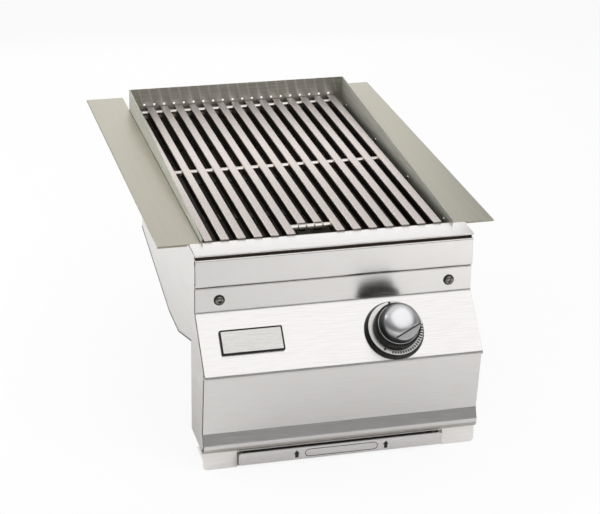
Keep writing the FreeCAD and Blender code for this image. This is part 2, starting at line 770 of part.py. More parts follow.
def rounded_sheet(points, radius, low_y, depth):
    """Sheet in the XZ plane with a round corner at each inner point of its path; a straight edge closes it."""
    def lift(pair):
        return FreeCAD.Vector(pair[0], float(low_y), pair[1])

    corners = flat(points)
    edges = rounded(corners, [float(radius)] * (len(corners) - 2), lift)
    if corners[0] != corners[-1]:
        edges.append(Part.LineSegment(lift(corners[-1]), lift(corners[0])).toShape())
    face = Part.Face(Part.Wire(edges))
    return made(face.extrude(FreeCAD.Vector(0, float(depth), 0)))


skirt_sheet = rounded_sheet([(-skirt_half, hem_z), (-skirt_half, skirt_z), (skirt_half, skirt_z),
                             (skirt_half, hem_z)], size.skirt_corner, skirt_y, size.gauge)
skirt_top = box((-skirt_half, skirt_y + size.gauge, hem_z - size.gauge),
                (skirt_half, skirt_y + size.skirt_flange, hem_z))
slot = box((-slot_half, skirt_y - size.gauge, skirt_z - size.gauge), (slot_half, skirt_y + size.gauge, slot_z))
keep("base_skirt", cut(fuse(skirt_sheet, skirt_top), slot))

brace_points = [(-size.cap_back - size.brace_leg, hem_z - size.gauge), (-size.cap_back, hem_z - size.gauge),
                (-size.cap_back, hem_z + size.brace_leg), (-size.cap_back - size.gauge, hem_z + size.brace_leg),
                (-size.cap_back - size.gauge, hem_z), (-size.cap_back - size.brace_leg, hem_z)]
keep("lower_brace", padded("YZ_Plane", brace_points, 2 * inner_side, (-inner_side, 0, 0)))

card_half = tray_half - size.card_inset
card_z = skirt_z + size.card_rise
runner_web = card_half + size.runner_play
runner_low = card_z - size.runner_play
runner_high = card_z + size.gauge + size.runner_play
runner_top = hem_z - size.gauge
runner_front = skirt_y + size.gauge


def tray_runner(side):
    """Channel that hangs from skirt and brace and holds one edge of the card plate."""
    web, back = side * runner_web, side * (runner_web + size.gauge)
    lip = side * (runner_web - size.runner_lip)
    points = [(back, runner_top), (back, runner_low - size.gauge), (lip, runner_low - size.gauge),
              (lip, runner_low), (web, runner_low), (web, runner_high), (lip, runner_high),
              (lip, runner_high + size.gauge), (web, runner_high + size.gauge), (web, runner_top)]
    return padded("XZ_Plane", points, -size.cap_back - runner_front, (0, runner_front, 0))


keep("tray_runner_left", tray_runner(-1))
keep("tray_runner_right", tray_runner(1))

# Instruction tray: a front bar with round corners and the card plate behind it

tray_back = skirt_y
tray_low = skirt_z + size.tray_rise
tray_top = tray_low + size.tray_height
keep("tray_front", rounded_sheet([(0, tray_top), (-tray_half, tray_top), (-tray_half, tray_low),
                                  (tray_half, tray_low), (tray_half, tray_top), (0, tray_top)],
                                 size.tray_corner, tray_back - size.tray_thick, size.tray_thick))
keep("tray_plate", box((-card_half, tray_back, card_z),
                       (card_half, tray_back + size.card_depth, card_z + size.gauge)))

# Nameplate: a bare field inside a raised rim

plate_y = -(screw_face + face_run * size.plate_place)
plate_z = top - (size.face_drop + face_fall * size.plate_place)


def face_block(width, height, low, high):
    """Block on the slanted face around the nameplate's middle, between two heights above the face."""
    thing = doc.addObject("Part::Box", "Block")
    bind(thing, Length=width, Width=height, Height=high - low)
    half = height / 2
    along_y, along_z = out_z, -out_y
    thing.Placement.Rotation = FreeCAD.Rotation(FreeCAD.Vector(1, 0, 0), math.degrees(face_slope))
    thing.setExpression("Placement.Rotation.Angle", SLOPE_TEXT)
    move(thing, size.plate_x - width / 2, plate_y + out_y * low - along_y * half,
         plate_z + out_z * low - along_z * half)
    return thing


plate_block = face_block(size.plate_width, size.plate_height, measure(0), size.plate_thick)
plate_field = face_block(size.plate_width - 2 * size.plate_rim, size.plate_height - 2 * size.plate_rim,
                         size.plate_thick - size.plate_sink, size.plate_thick + size.gauge)
keep("nameplate", cut(plate_block, plate_field))

# Bezel and knob on their axis

dial_top = size.bezel_height + size.dial_height
skirt_low = dial_top + size.knob_gap
skirt_high = skirt_low + size.skirt_height
hub_low = skirt_low - size.hub_length
stem_top = skirt_high - size.gauge

keep("bezel_ring", on_knob_axis(turned([
    (size.bezel_bore, 0), (size.bezel_base, 0), (size.bezel_radius, size.bezel_height),
    (size.bezel_bore, size.bezel_height)])))
keep("dial_plate", on_knob_axis(turned(tube_profile(size.bezel_bore, size.dial_radius,
                                                    size.bezel_height, dial_top))))
keep("knob_skirt", on_knob_axis(turned([
    (size.stem_radius, hub_low), (size.hub_radius, hub_low), (size.hub_radius, skirt_low),
    (size.skirt_radius, skirt_low), (size.skirt_radius, skirt_high), (0, skirt_high), (0, stem_top),
    (size.stem_radius, stem_top)])))
keep("knob_bead", on_knob_axis(turned(tube_profile(size.dome_radius, size.bead_radius,
                                                   skirt_high, skirt_high + size.bead_height))))

dome_core = on_knob_axis(upright(size.dome_radius, size.dome_height), skirt_high)
dome_ball = doc.addObject("Part::Sphere", "Ball")
bind(dome_ball, Radius=size.dome_sphere)
on_knob_axis(dome_ball, skirt_high + size.dome_height - size.dome_sphere)
dome = doc.addObject("Part::Common", "Dome")
dome.Base = dome_core
dome.Tool = dome_ball

flat_cut = doc.addObject("Part::Box", "Flat")
bind(flat_cut, Length=size.dome_radius, Width=2 * size.dome_radius, Height=size.dome_height)
knob_turn = FreeCAD.Rotation(FreeCAD.Vector(1, 0, 0), math.degrees(face_slope))
flat_spin = FreeCAD.Rotation(FreeCAD.Vector(0, 0, 1), float(size.flat_turn))
knob_base = FreeCAD.Placement(FreeCAD.Vector(float(size.knob_x), float(knob_y), float(knob_z)), knob_turn)
flat_corner = FreeCAD.Vector(float(size.flat_offset), -float(size.dome_radius),
                             float(skirt_high + size.flat_floor))
flat_cut.Placement = knob_base * FreeCAD.Placement(FreeCAD.Vector(), flat_spin) * FreeCAD.Placement(
    flat_corner, FreeCAD.Rotation())
keep("knob_dome", cut(dome, flat_cut))

keep("valve_stem", on_knob_axis(turned([
    (0, -size.stem_depth), (size.stem_radius, -size.stem_depth), (size.stem_radius, stem_top), (0, stem_top)])))
sleeve_rear = size.sleeve_front + size.sleeve_length
keep("stem_sleeve", on_knob_axis(turned(tube_profile(
    size.stem_radius + size.fit_play, size.sleeve_radius, -sleeve_rear, -size.sleeve_front))))

# Gas valve: flange on the panel's back, neck, body, tail in the gas pipe and an outlet arm

flange_rear = size.gauge + size.valve_flange_height
valve_rear = size.valve_neck_end + size.valve_length
tail_rear = valve_rear + size.tail_length
stem_bore = size.stem_radius + size.fit_play
sleeve_bore = size.sleeve_radius + size.fit_play
valve_turned = on_knob_axis(turned([
    (sleeve_bore, -size.gauge), (size.valve_flange, -size.gauge), (size.valve_flange, -flange_rear),
    (size.valve_neck, -flange_rear), (size.valve_neck, -size.valve_neck_end),
    (size.valve_radius, -size.valve_neck_end), (size.valve_radius, -valve_rear),
    (size.tail_radius, -valve_rear), (size.tail_radius, -tail_rear), (0, -tail_rear),
    (0, -size.stem_depth - size.push_room), (stem_bore, -size.stem_depth - size.push_room),
    (stem_bore, -sleeve_rear - size.push_room), (sleeve_bore, -sleeve_rear - size.push_room)]))
axis_depth = (knob_z - venturi_z) / out_z
outlet_root = knob_y - out_y * axis_depth + size.outlet_start
outlet_arm = cylinder("Y", (size.knob_x, outlet_root, venturi_z), size.outlet_radius,
                      -size.outlet_end - outlet_root)
valve_body = fuse(valve_turned, outlet_arm)
keep("valve_body", valve_body)
orifice_tip = size.orifice_hex_length + size.orifice_length
keep("burner_orifice", turned_along("Y", (size.knob_x, -size.outlet_end, venturi_z), [
    (size.orifice_bore, 0), (size.orifice_hex, 0), (size.orifice_hex, size.orifice_hex_length),
    (size.orifice_radius, size.orifice_hex_length), (size.orifice_radius, orifice_tip),
    (size.orifice_bore, orifice_tip)]))

# Gas pipe behind the valve, with an elbow down to the flare inlet at the back

pipe_depth = tail_rear - size.tail_bite + size.pipe_radius
pipe_y = knob_y - out_y * pipe_depth
pipe_z = knob_z - out_z * pipe_depth
pipe_low = size.knob_x - size.pipe_left
pipe_length = size.pipe_left + size.pipe_right
elbow_x = size.knob_x + size.elbow_x
elbow_top = pipe_z - size.pipe_radius + size.pipe_wall
inlet_z = pipe_z - size.elbow_drop
elbow = bent_tube(elbow_x, [(pipe_y, elbow_top), (pipe_y, inlet_z), (-size.inlet_start, inlet_z)],
                  size.elbow_bend, size.elbow_radius, size.elbow_wall)
keep("manifold_elbow", elbow)
pipe_core = cylinder("X", (pipe_low, pipe_y, pipe_z), size.pipe_radius, pipe_length)
pipe_bore = cylinder("X", (pipe_low + size.pipe_wall, pipe_y, pipe_z), size.pipe_radius - size.pipe_wall,
                     pipe_length - 2 * size.pipe_wall)
elbow_hole = cylinder("Z", (elbow_x, pipe_y, elbow_top - size.pipe_radius), size.elbow_radius,
                      size.pipe_radius)
keep("manifold_pipe", cut(cut(pipe_core, pipe_bore), group([valve_body, elbow_hole])))
inlet_end = size.inlet_hex_length + size.inlet_length
keep("inlet_fitting", turned_along("Y", (elbow_x, -size.inlet_start, inlet_z), [
    (size.inlet_bore, 0), (size.inlet_hex, 0), (size.inlet_hex, size.inlet_hex_length),
    (size.inlet_radius, size.inlet_hex_length), (size.inlet_radius, inlet_end), (size.inlet_bore, inlet_end)]))

# Infrared burner: pan on two bars, ceramic tiles on its rim, frame over the tiles

burner_y = (size.liner_depth - size.burner_length) / 2
burner_rear = burner_y + size.burner_length
half_burner = size.burner_width / 2
pan_z = floor_top + size.bracket_height
pan_top = pan_z + size.burner_height
tile_top = pan_top + size.tile_thick
pan_block = box((-half_burner, burner_y, pan_z), (half_burner, burner_rear, pan_top))
pan_room = box((size.gauge - half_burner, burner_y + size.gauge, pan_z + size.gauge),
               (half_burner - size.gauge, burner_rear - size.gauge, tile_top))
pan_entry = cylinder("Z", (size.knob_x, size.venturi_rise_y, pan_z - size.gauge),
                     size.venturi_radius + size.fit_play, 3 * size.gauge)
keep("burner_pan", cut(cut(pan_block, pan_room), pan_entry))

supports = []
for low_y in (burner_y + size.bracket_inset, burner_rear - size.bracket_inset - size.bracket_bar):
    supports.append(box((-half_burner, low_y, floor_top), (half_burner, low_y + size.bracket_bar, pan_z)))
keep("burner_brackets", group(supports))

tiles, windows = [], []
tile_width = size.burner_width / size.tile_columns
tile_length = size.burner_length / size.tile_rows
for column in range(round(float(size.tile_columns))):
    for row in range(round(float(size.tile_rows))):
        low = (tile_width * column - half_burner, burner_y + tile_length * row, pan_top)
        high = (low[0] + tile_width, low[1] + tile_length, tile_top)
        tiles.append(box(low, high))
        windows.append(box((low[0] + size.frame_border, low[1] + size.frame_border, tile_top - size.gauge),
                           (high[0] - size.frame_border, high[1] - size.frame_border, tile_top + top)))
keep("ceramic_tiles", group(tiles))
frame_block = box((-half_burner - size.gauge, burner_y - size.gauge, pan_top),
                  (half_burner + size.gauge, burner_rear + size.gauge, tile_top + size.gauge))
frame_room = box((-half_burner, burner_y, pan_top - size.gauge), (half_burner, burner_rear, tile_top))
keep("burner_frame", cut(cut(frame_block, frame_room), group(windows)))

# Mixing tube from the nozzle up into the pan, with air ports under a turning shutter

venturi_path = [(-size.venturi_front, venturi_z), (size.venturi_rise_y, venturi_z),
                (size.venturi_rise_y, pan_z + size.venturi_entry)]
venturi = bent_tube(size.knob_x, venturi_path, size.venturi_bend, size.venturi_radius, size.gauge)
port_y = (size.shutter_length - size.port_length) / 2 - size.venturi_front
air_ports = box((size.knob_x - 2 * size.venturi_radius, port_y, venturi_z - size.port_width / 2),
                (size.knob_x + 2 * size.venturi_radius, port_y + size.port_length,
                 venturi_z + size.port_width / 2))
keep("venturi_tube", cut(venturi, air_ports))
shutter = turned_along("Y", (size.knob_x, -size.venturi_front, venturi_z), tube_profile(
    size.venturi_radius + size.fit_play, shutter_outer, 0, size.shutter_length))
keep("air_shutter", cut(shutter, air_ports))

# Ignition: electrode through the front wall, lead down to the igniter beside the valve

electrode_rear = size.electrode_front + size.electrode_rear
keep("igniter_electrode", turned_along("Y", (electrode_x, -size.electrode_front - size.terminal_length,
                                             -size.electrode_drop), [
    (0, 0), (size.lead_radius, 0), (size.lead_radius, size.terminal_length),
    (size.electrode_radius, size.terminal_length), (size.electrode_radius, size.terminal_length + electrode_rear),
    (size.spark_radius, size.terminal_length + electrode_rear),
    (size.spark_radius, size.terminal_length + electrode_rear + size.spark_length),
    (0, size.terminal_length + electrode_rear + size.spark_length)]))
piezo_x = size.knob_x + size.valve_radius
keep("piezo_igniter", box(
    (piezo_x, -size.piezo_reach - size.piezo_depth / 2, -size.piezo_drop - size.piezo_height),
    (piezo_x + size.piezo_width, -size.piezo_reach + size.piezo_depth / 2, -size.piezo_drop)))
lead_path = [(-size.piezo_reach, -size.piezo_drop), (-size.piezo_reach, -size.electrode_drop),
             (-size.electrode_front - size.terminal_length, -size.electrode_drop)]
keep("igniter_lead", bent_tube(electrode_x, lead_path, size.lead_bend, size.lead_radius, measure(0)))

# Build, test every object and write one file per piece

doc.recompute()
for thing in doc.Objects:
    if "Invalid" in thing.State or "Error" in thing.State:
        raise RuntimeError(f"{thing.Name} ({thing.Label}) failed: {thing.State}")
os.makedirs("parts", exist_ok=True)
for thing in NODES:
    shape = thing.Shape
    if shape.isNull() or not shape.isValid() or not shape.Solids:
        raise RuntimeError(f"{thing.Label} has no valid solid")
    shape.exportStep(f"parts/{thing.Label}.step")
    print(f"{thing.Label}: {len(shape.Solids)} solids, {shape.Volume / 1000:.2f} cm3")
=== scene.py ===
"""Looks of the drop-in searing station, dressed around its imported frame.

Metres, in the frame of the part: X to the right, Y to the back, Z up, origin on the counter top at the middle
of the cut-out's front edge.
"""

import math

import bmesh
import bpy
import numpy as np
from mathutils import Matrix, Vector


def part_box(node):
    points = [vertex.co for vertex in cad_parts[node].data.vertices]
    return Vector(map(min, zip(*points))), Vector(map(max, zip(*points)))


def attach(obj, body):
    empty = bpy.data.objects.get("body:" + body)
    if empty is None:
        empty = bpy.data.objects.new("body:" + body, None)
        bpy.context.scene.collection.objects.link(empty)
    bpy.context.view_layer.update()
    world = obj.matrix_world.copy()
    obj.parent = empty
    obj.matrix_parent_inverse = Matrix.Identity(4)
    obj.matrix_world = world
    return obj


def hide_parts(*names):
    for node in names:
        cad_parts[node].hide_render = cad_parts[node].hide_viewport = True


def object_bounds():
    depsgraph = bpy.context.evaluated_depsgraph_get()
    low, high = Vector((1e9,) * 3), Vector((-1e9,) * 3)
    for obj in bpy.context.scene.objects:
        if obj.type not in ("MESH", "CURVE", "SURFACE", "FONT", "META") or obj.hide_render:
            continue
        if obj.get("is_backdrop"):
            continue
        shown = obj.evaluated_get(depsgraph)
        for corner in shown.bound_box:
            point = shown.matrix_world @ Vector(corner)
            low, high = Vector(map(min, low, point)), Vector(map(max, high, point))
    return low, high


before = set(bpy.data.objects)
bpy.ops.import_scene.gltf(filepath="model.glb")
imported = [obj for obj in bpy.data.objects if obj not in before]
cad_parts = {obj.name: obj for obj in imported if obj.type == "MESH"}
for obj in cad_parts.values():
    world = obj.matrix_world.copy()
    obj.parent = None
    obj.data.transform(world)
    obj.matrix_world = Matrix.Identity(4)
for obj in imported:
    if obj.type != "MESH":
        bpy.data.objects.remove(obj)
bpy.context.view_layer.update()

bl_info = {
    "name": "Searing station",
    "version": (1, 0, 0),
    "blender": (4, 5, 0),
    "location": "3D View > Sidebar > Station",
    "description": "Builds the looks of a drop-in gas searing station around its frame",
    "category": "Object",
}

MM = 0.001
SHEET_EDGE = 0.2 * MM  # broken edge of a cut sheet
MERGED = 0.0005 * MM  # points this close are one
CREASE, BROKEN = math.radians(35), math.radians(40)  # least turns that shade sharp and that get a broken edge
INK = 0.06 * MM  # printed ink on its ground
FRONT_AXES = ((1, 0, 0), (0, 0, 1), (0, -1, 0))  # right, up and outward on the front


def length(name, description, millimetres):
    """Length property, given in millimetres."""
    return bpy.props.FloatProperty(name=name, description=description, default=millimetres * MM,
                                   unit="LENGTH", precision=4)


def colour(name, description, code):
    """Colour property from an sRGB hex code."""
    return bpy.props.FloatVectorProperty(name=name, description=description, default=linear(code), size=4,
                                         min=0, max=1, subtype="COLOR")


def linear(code):
    """Linear colour of an sRGB hex code: each channel through the sRGB curve."""
    channels = [int(code[i:i + 2], 16) / 255 for i in (1, 3, 5)]
    return tuple(c / 12.92 if c <= 0.04045 else ((c + 0.055) / 1.055) ** 2.4 for c in channels) + (1.0,)


class HousingSizes(bpy.types.PropertyGroup):
    """Section of the control housing: reach in front of the cut-out's edge, drop below the ledge."""

    gauge: length("Gauge", "Thickness of the sheets", 1.2)
    bend: length("Bend", "Inside radius of the folds", 1.0)
    panel_width: length("Panel width", "Width over the panel", 317.5)
    ledge_reach: length("Ledge reach", "Front of ledge and upper band", 34.3)
    ledge_nose: length("Ledge nose", "Height of the ledge's nose", 2.6)
    tongue_reach: length("Tongue reach", "Back of the groove under the nose", 28.0)
    tongue_drop: length("Tongue drop", "End of the ledge's tongue", 14.0)
    band_drop: length("Band drop", "Top of the upper band", 6.0)
    band_bottom: length("Band bottom", "Bottom of the upper band", 37.0)
    recess: length("Recess", "Screw band behind the upper band", 2.3)
    joggle: length("Joggle", "Height of the step between them", 3.3)
    face_drop: length("Face drop", "Top of the slanted face", 69.7)
    nose_reach: length("Nose reach", "Bottom of the slanted face", 83.0)
    nose_drop: length("Nose drop", "Bottom of the slanted face", 122.9)
    nose_hem: length("Nose hem", "Top of the lower panel below the nose", 4.6)
    hem_return: length("Hem return", "Return of that hem", 9.0)
    lower_setback: length("Lower setback", "Lower panel behind the nose", 3.7)
    lower_reach: length("Lower reach", "Narrowest place of the lower panel", 70.5)
    lower_drop: length("Lower drop", "Narrowest place of the lower panel", 199.0)
    lip_reach: length("Lip reach", "Front of the lip", 76.5)
    lip_drop: length("Lip drop", "Front of the lip", 215.2)
    foot_reach: length("Foot reach", "Bottom of the lip", 71.0)
    foot_drop: length("Foot drop", "Bottom of the lip", 224.2)
    foot_return: length("Foot return", "Return at the bottom of the lip", 12.0)
    groove: length("Groove", "Height of the groove under the upper band", 1.3)
    groove_depth: length("Groove depth", "Groove behind the screw band", 5.0)
    groove_fold: length("Groove fold", "Bends at the back of the groove", 0.3)
    band_fold: length("Band fold", "Bend below the groove", 1.5)
    face_fold: length("Face fold", "Bend above the slanted face", 6.0)
    nose_fold: length("Nose fold", "Bend below the slanted face", 2.6)
    nose_lip: length("Nose lip", "Bottom of the hem below the nose", 4.4)
    nose_lean: length("Nose lean", "Hem's bottom in front of its top", 1.4)
    hem_fold: length("Hem fold", "Bend at the bottom of the hem", 1.4)
    lip_fold: length("Lip fold", "Bend at the front of the lip", 9.0)
    foot_fold: length("Foot fold", "Bend at the bottom of the lip", 7.0)
    seam: length("Seam", "Side plates behind the front sheets", 5.5)
    top_seam: length("Top seam", "Side plates below ledge and wings", 1.4)
    cap_back: length("Cap back", "Back edge of the housing's ends", 6.0)
    shield_front_drop: length("Shield front drop", "Shield at the housing", 113.0)
    dip_front: length("Dip front", "Front of the shield's dip", 68.0)
    dip_rear: length("Dip rear", "Rear of the shield's dip", 125.0)
    dip_drop: length("Dip drop", "Bottom of the dip", 135.0)
    shield_rear: length("Shield rear", "Rear end of shield and side plates", 307.0)
    shield_rear_drop: length("Shield rear drop", "Shield at its rear end", 99.0)
    screw_x: length("Screw place", "Screws from the middle", 132.0)
    screw_drop: length("Screw drop", "Screws below the ledge", 55.5)


class WingSizes(bpy.types.PropertyGroup):
    """Hanging wings beside the firebox."""

    span: length("Span", "Over both wings", 389.0)
    depth: length("Depth", "Length of a wing", 521.0)
    hem: length("Hem", "Width of the hemmed strip", 33.0)
    leg: length("Leg", "Leg along the liner", 16.0)
    liner_width: length("Liner width", "Outside width of the firebox", 290.0)


class GrateSizes(bpy.types.PropertyGroup):
    """Rods and cross bars of the cooking grate."""

    top: length("Top", "Top of the rods above the counter", 4.5)
    width: length("Rod width", "Width of a rod", 9.5)
    height: length("Rod height", "Height of a rod", 11.0)
    left_gap: length("Left gap", "First rod from the left wall", 2.1)
    right_gap: length("Right gap", "Last rod from the right wall", 11.3)
    front: length("Rod front", "Front ends of the long rods", 2.0)
    rear: length("Rod rear", "Rear ends of the rods", 469.3)
    edge: length("Rod edge", "Rounding of the rods' edges", 1.0)
    slot: length("Lift slot", "Slot for the lifting tool", 28.0)
    bar_radius: length("Bar radius", "Cross bars", 3.2)
    bar_sink: length("Bar sink", "Bar axis below the rods' top", 5.0)
    rear_inset: length("Rear inset", "Rear bar from the rods' rear ends", 11.3)
    mid_place: bpy.props.FloatProperty(name="Middle bar", description="Its share of the rods' length",
                                       default=0.483, subtype="FACTOR")
    count: bpy.props.IntProperty(name="Rods", description="Number of rods", default=15)


class KnobSizes(bpy.types.PropertyGroup):
    """Knob, dial and bezel along the axis square to the slanted face."""

    place_x: length("Place", "Knob axis right of the middle", 61.0)
    place: bpy.props.FloatProperty(name="Place down", description="Share of the slanted face above the axis",
                                   default=0.55, subtype="FACTOR")
    bezel_base: length("Bezel base", "Black ring at the panel", 34.5)
    bezel_radius: length("Bezel radius", "Black ring under the dial", 32.0)
    bezel_height: length("Bezel height", "Black ring on the panel", 8.0)
    bore: length("Bore", "Hole in bezel and dial", 15.0)
    dial_radius: length("Dial radius", "Dial plate", 31.5)
    dial_height: length("Dial height", "Dial plate", 1.0)
    gap: length("Gap", "Skirt above the dial", 3.5)
    skirt_radius: length("Skirt radius", "Knob's skirt", 26.5)
    skirt_height: length("Skirt height", "Knob's skirt", 9.0)
    hub_radius: length("Hub radius", "Knob's hub", 9.0)
    hub_length: length("Hub length", "Hub below the skirt", 6.0)
    bead_radius: length("Bead radius", "Bright ring on the skirt", 23.4)
    bead_height: length("Bead height", "Bright ring on the skirt", 1.2)
    dome_radius: length("Dome radius", "Knob's dome", 22.5)
    dome_power: bpy.props.FloatProperty(name="Dome power", default=2.85,
                                        description="Rounding of the dome, 2 for an ellipsoid")
    dome_height: length("Dome height", "Knob's dome", 20.5)
    flat_offset: length("Flat offset", "Flat on the dome from the axis", 12.6)
    flat_step: length("Flat step", "Step from the dome down to the flat", 4.0)
    flat_fall: length("Flat fall", "Width of that step", 0.9)
    flat_line: length("Flat line", "Dark line along the step", 1.3)
    flat_rim: length("Flat rim", "Flat above the skirt at the dome's side", 7.4)
    flat_turn: bpy.props.FloatProperty(name="Flat turn", description="Direction of the flat",
                                       default=math.radians(-65.0), subtype="ANGLE")


class FastenerSizes(bpy.types.PropertyGroup):
    """Screws and washers of the upper panel, rivets of the liner."""

    head_radius: length("Head radius", "Screw's button head", 4.7)
    head_height: length("Head height", "Screw's button head", 2.8)
    socket: length("Socket", "Hexagon socket, middle to flat", 2.2)
    socket_depth: length("Socket depth", "Hexagon socket", 2.0)
    shank_radius: length("Shank radius", "Screw below its head", 2.5)
    shank_length: length("Shank length", "Screw below its head", 9.0)
    washer_radius: length("Washer radius", "Outside of a washer", 6.2)
    washer_bore: length("Washer bore", "Hole in a washer", 2.6)
    washer_thick: length("Washer thickness", "Washer under a screw", 0.9)
    rivet_radius: length("Rivet radius", "Rivet's head", 2.6)
    rivet_height: length("Rivet height", "Rivet's head", 1.3)
    rivet_count: bpy.props.IntProperty(name="Rivets", description="Rivets in each side wall", default=4)


class PlateSizes(bpy.types.PropertyGroup):
    """Nameplate on the slanted face."""

    place_x: length("Place", "Middle of the plate left of the station's middle", 101.0)
    place: bpy.props.FloatProperty(name="Place down", default=0.5, subtype="FACTOR",
                                   description="Share of the slanted face above the plate's middle")
    width: length("Width", "Over the rim", 71.0)
    height: length("Height", "Over the rim", 28.5)
    corner: length("Corner", "Rounding of its corners", 1.6)
    rim: length("Rim", "Width of the black rim", 1.8)
    rise: length("Rise", "Top of the rim above the panel", 3.5)
    field_rise: length("Field rise", "Field inside the rim above the panel", 2.9)


class TraySizes(bpy.types.PropertyGroup):
    """Front of the instruction tray and the marks on it."""

    sheet: length("Sheet", "Thickness of the front", 1.6)
    corner: length("Corner", "Rounding of its corners", 3.2)
    arrow_place: length("Arrow place", "Arrows from the middle", 52.0)
    field_width: length("Field width", "Outlined field", 85.0)
    field_height: length("Field height", "Outlined field", 9.4)
    line: length("Line", "Outline of the field", 0.8)


class FinishColours(bpy.types.PropertyGroup):
    """Colours that set the look of the metals."""

    panel_light: colour("Panel light", "Brushed panel, bright grain", "#e7e5e4")
    panel_dark: colour("Panel dark", "Brushed panel, dark grain", "#d8d5d4")
    wing_light: colour("Wing light", "Rolled wings, bright grain", "#b4b1a4")
    wing_dark: colour("Wing dark", "Rolled wings, dark grain", "#a7a395")
    liner_light: colour("Liner light", "Liner, bright grain", "#d2d2c9")
    liner_dark: colour("Liner dark", "Liner, dark grain", "#b2b2a9")
    rod_light: colour("Rod light", "Ground rods, bright scratch", "#e9e2de")
    rod_dark: colour("Rod dark", "Ground rods, dark scratch", "#c9c0bb")


def sizes(group):
    """Settings of one group on the scene."""
    return getattr(bpy.context.scene, "station_" + group)


# Shapes: every one is a grid of points, joined by faces and closed at its ends


def rounded_path(points, radii, steps=10):
    """Open path with an arc at each inner corner: tangent points at radius times tan of half the turn, and
    the arc swept from the first tangent to the second about its centre."""
    points = np.asarray(points, float)
    pieces = [points[:1]]
    for before, corner, after, radius in zip(points, points[1:], points[2:], radii):
        into = (corner - before) / np.linalg.norm(corner - before)
        out = (after - corner) / np.linalg.norm(after - corner)
        turn = math.atan2(into[0] * out[1] - into[1] * out[0], into @ out)
        reach = radius * math.tan(abs(turn) / 2)
        side = np.array([-into[1], into[0]]) * np.sign(turn)
        centre = corner - into * reach + side * radius
        angles = np.linspace(0, turn, steps + 1)
        arm = -side * radius
        pieces.append(centre + np.stack([arm[0] * np.cos(angles) - arm[1] * np.sin(angles),
                                         arm[0] * np.sin(angles) + arm[1] * np.cos(angles)], 1))
    pieces.append(points[-1:])
    return np.concatenate(pieces)


def offset_path(points, distance):
    """Open path moved to its left, each corner along its mitre."""
    points = np.asarray(points, float)
    ways = np.diff(points, axis=0)
    ways /= np.linalg.norm(ways, axis=1)[:, None]
    first = np.concatenate([ways[:1], ways])
    second = np.concatenate([ways, ways[-1:]])
    both = first + second
    lean = 1 + (first * second).sum(1)
    return points + distance * np.stack([-both[:, 1], both[:, 0]], 1) / lean[:, None]


def corner_turns(path):
    """Turn at each inner corner of a path: the cross product of the ways into and out of it, positive to the
    left."""
    ways = np.diff(path, axis=0)
    return ways[:-1, 0] * ways[1:, 1] - ways[:-1, 1] * ways[1:, 0]


def folded_loop(path, radii, gauge):
    """Closed section of a folded sheet: the outer path with its arcs, then back along the path moved to its
    left, whose arcs share the outer arcs' centres."""
    inner_radii = [r - gauge if turn > 0 else r + gauge for r, turn in zip(radii, corner_turns(path))]
    outer = rounded_path(path, radii)
    inner = rounded_path(offset_path(path, gauge), inner_radii)
    return np.concatenate([outer, inner[::-1]])


def rounded_rect(width, height, radius, steps=5):
    """Closed rectangle about the origin with quarter arcs at its corners."""
    angles = np.linspace(0, math.pi / 2, steps + 1)
    arc = np.stack([np.cos(angles), np.sin(angles)], 1) * radius
    corner = np.array([width / 2 - radius, height / 2 - radius])
    quarter = np.array([[0, -1], [1, 0]])
    turns = [np.eye(2), quarter, -np.eye(2), -quarter]
    centres = [corner, corner * (-1, 1), -corner, corner * (1, -1)]
    return np.concatenate([arc @ turn.T + centre for turn, centre in zip(turns, centres)])


def lifted(loop, height):
    """Plane loop at a height on the third axis."""
    return np.concatenate([loop, np.full((len(loop), 1), height)], 1)


def smooth(share):
    """Smooth step from 0 to 1: three times the square less twice the cube."""
    share = np.clip(share, 0, 1)
    return share * share * (3 - 2 * share)


def in_sixth(angle):
    """Angle from the middle of the nearest side of a hexagon."""
    return (angle + math.pi / 6) % (math.pi / 3) - math.pi / 6


def loft(rings, ends="face"):
    """Rings of equal count joined by quads; each end is closed by one face, by a strip across a thin section,
    or left as it is for a ring that has shrunk to a point or a loop that closes on itself."""
    rings = np.asarray(rings, float)
    count, around = rings.shape[:2]
    here = np.arange(around)
    there = (here + 1) % around
    rows = np.arange(count if ends == "loop" else count - 1)[:, None] * around
    above = (rows + around) % (count * around)
    quads = np.stack([rows + here, rows + there, above + there, above + here], -1).reshape(-1, 4).tolist()
    last = (count - 1) * around
    if ends == "face":
        quads += [here[::-1].tolist(), (here + last).tolist()]
    if ends == "strip":
        low = np.arange(around // 2 - 1)
        cap = np.stack([low, low + 1, around - 2 - low, around - 1 - low], 1)
        quads += cap[:, ::-1].tolist() + (cap + last).tolist()
    return rings.reshape(-1, 3), quads


def turned(profile, around=96):
    """Profile of radius and height turned round the third axis; points on the axis close to poles."""
    profile = np.asarray(profile, float)
    angles = np.linspace(0, 2 * math.pi, around, endpoint=False)
    radius, height = profile[:, :1], profile[:, 1:]
    rings = np.stack([radius * np.cos(angles), radius * np.sin(angles), height + 0 * angles], -1)
    closed = profile[0, 0] > 0 or profile[-1, 0] > 0
    return loft(rings, "loop" if closed else "point")


def joined(shapes):
    """Several shapes in one mesh."""
    points, faces, start = [], [], 0
    for vertices, quads in shapes:
        points.append(vertices)
        faces += [[index + start for index in quad] for quad in quads]
        start += len(vertices)
    return np.concatenate(points), faces


def carried(shape, origin, across, up, out):
    """Shape with its three axes laid along three directions from a point."""
    vertices, faces = shape
    axes = np.array([across, up, out], float)
    return vertices @ axes + np.asarray(origin, float), faces


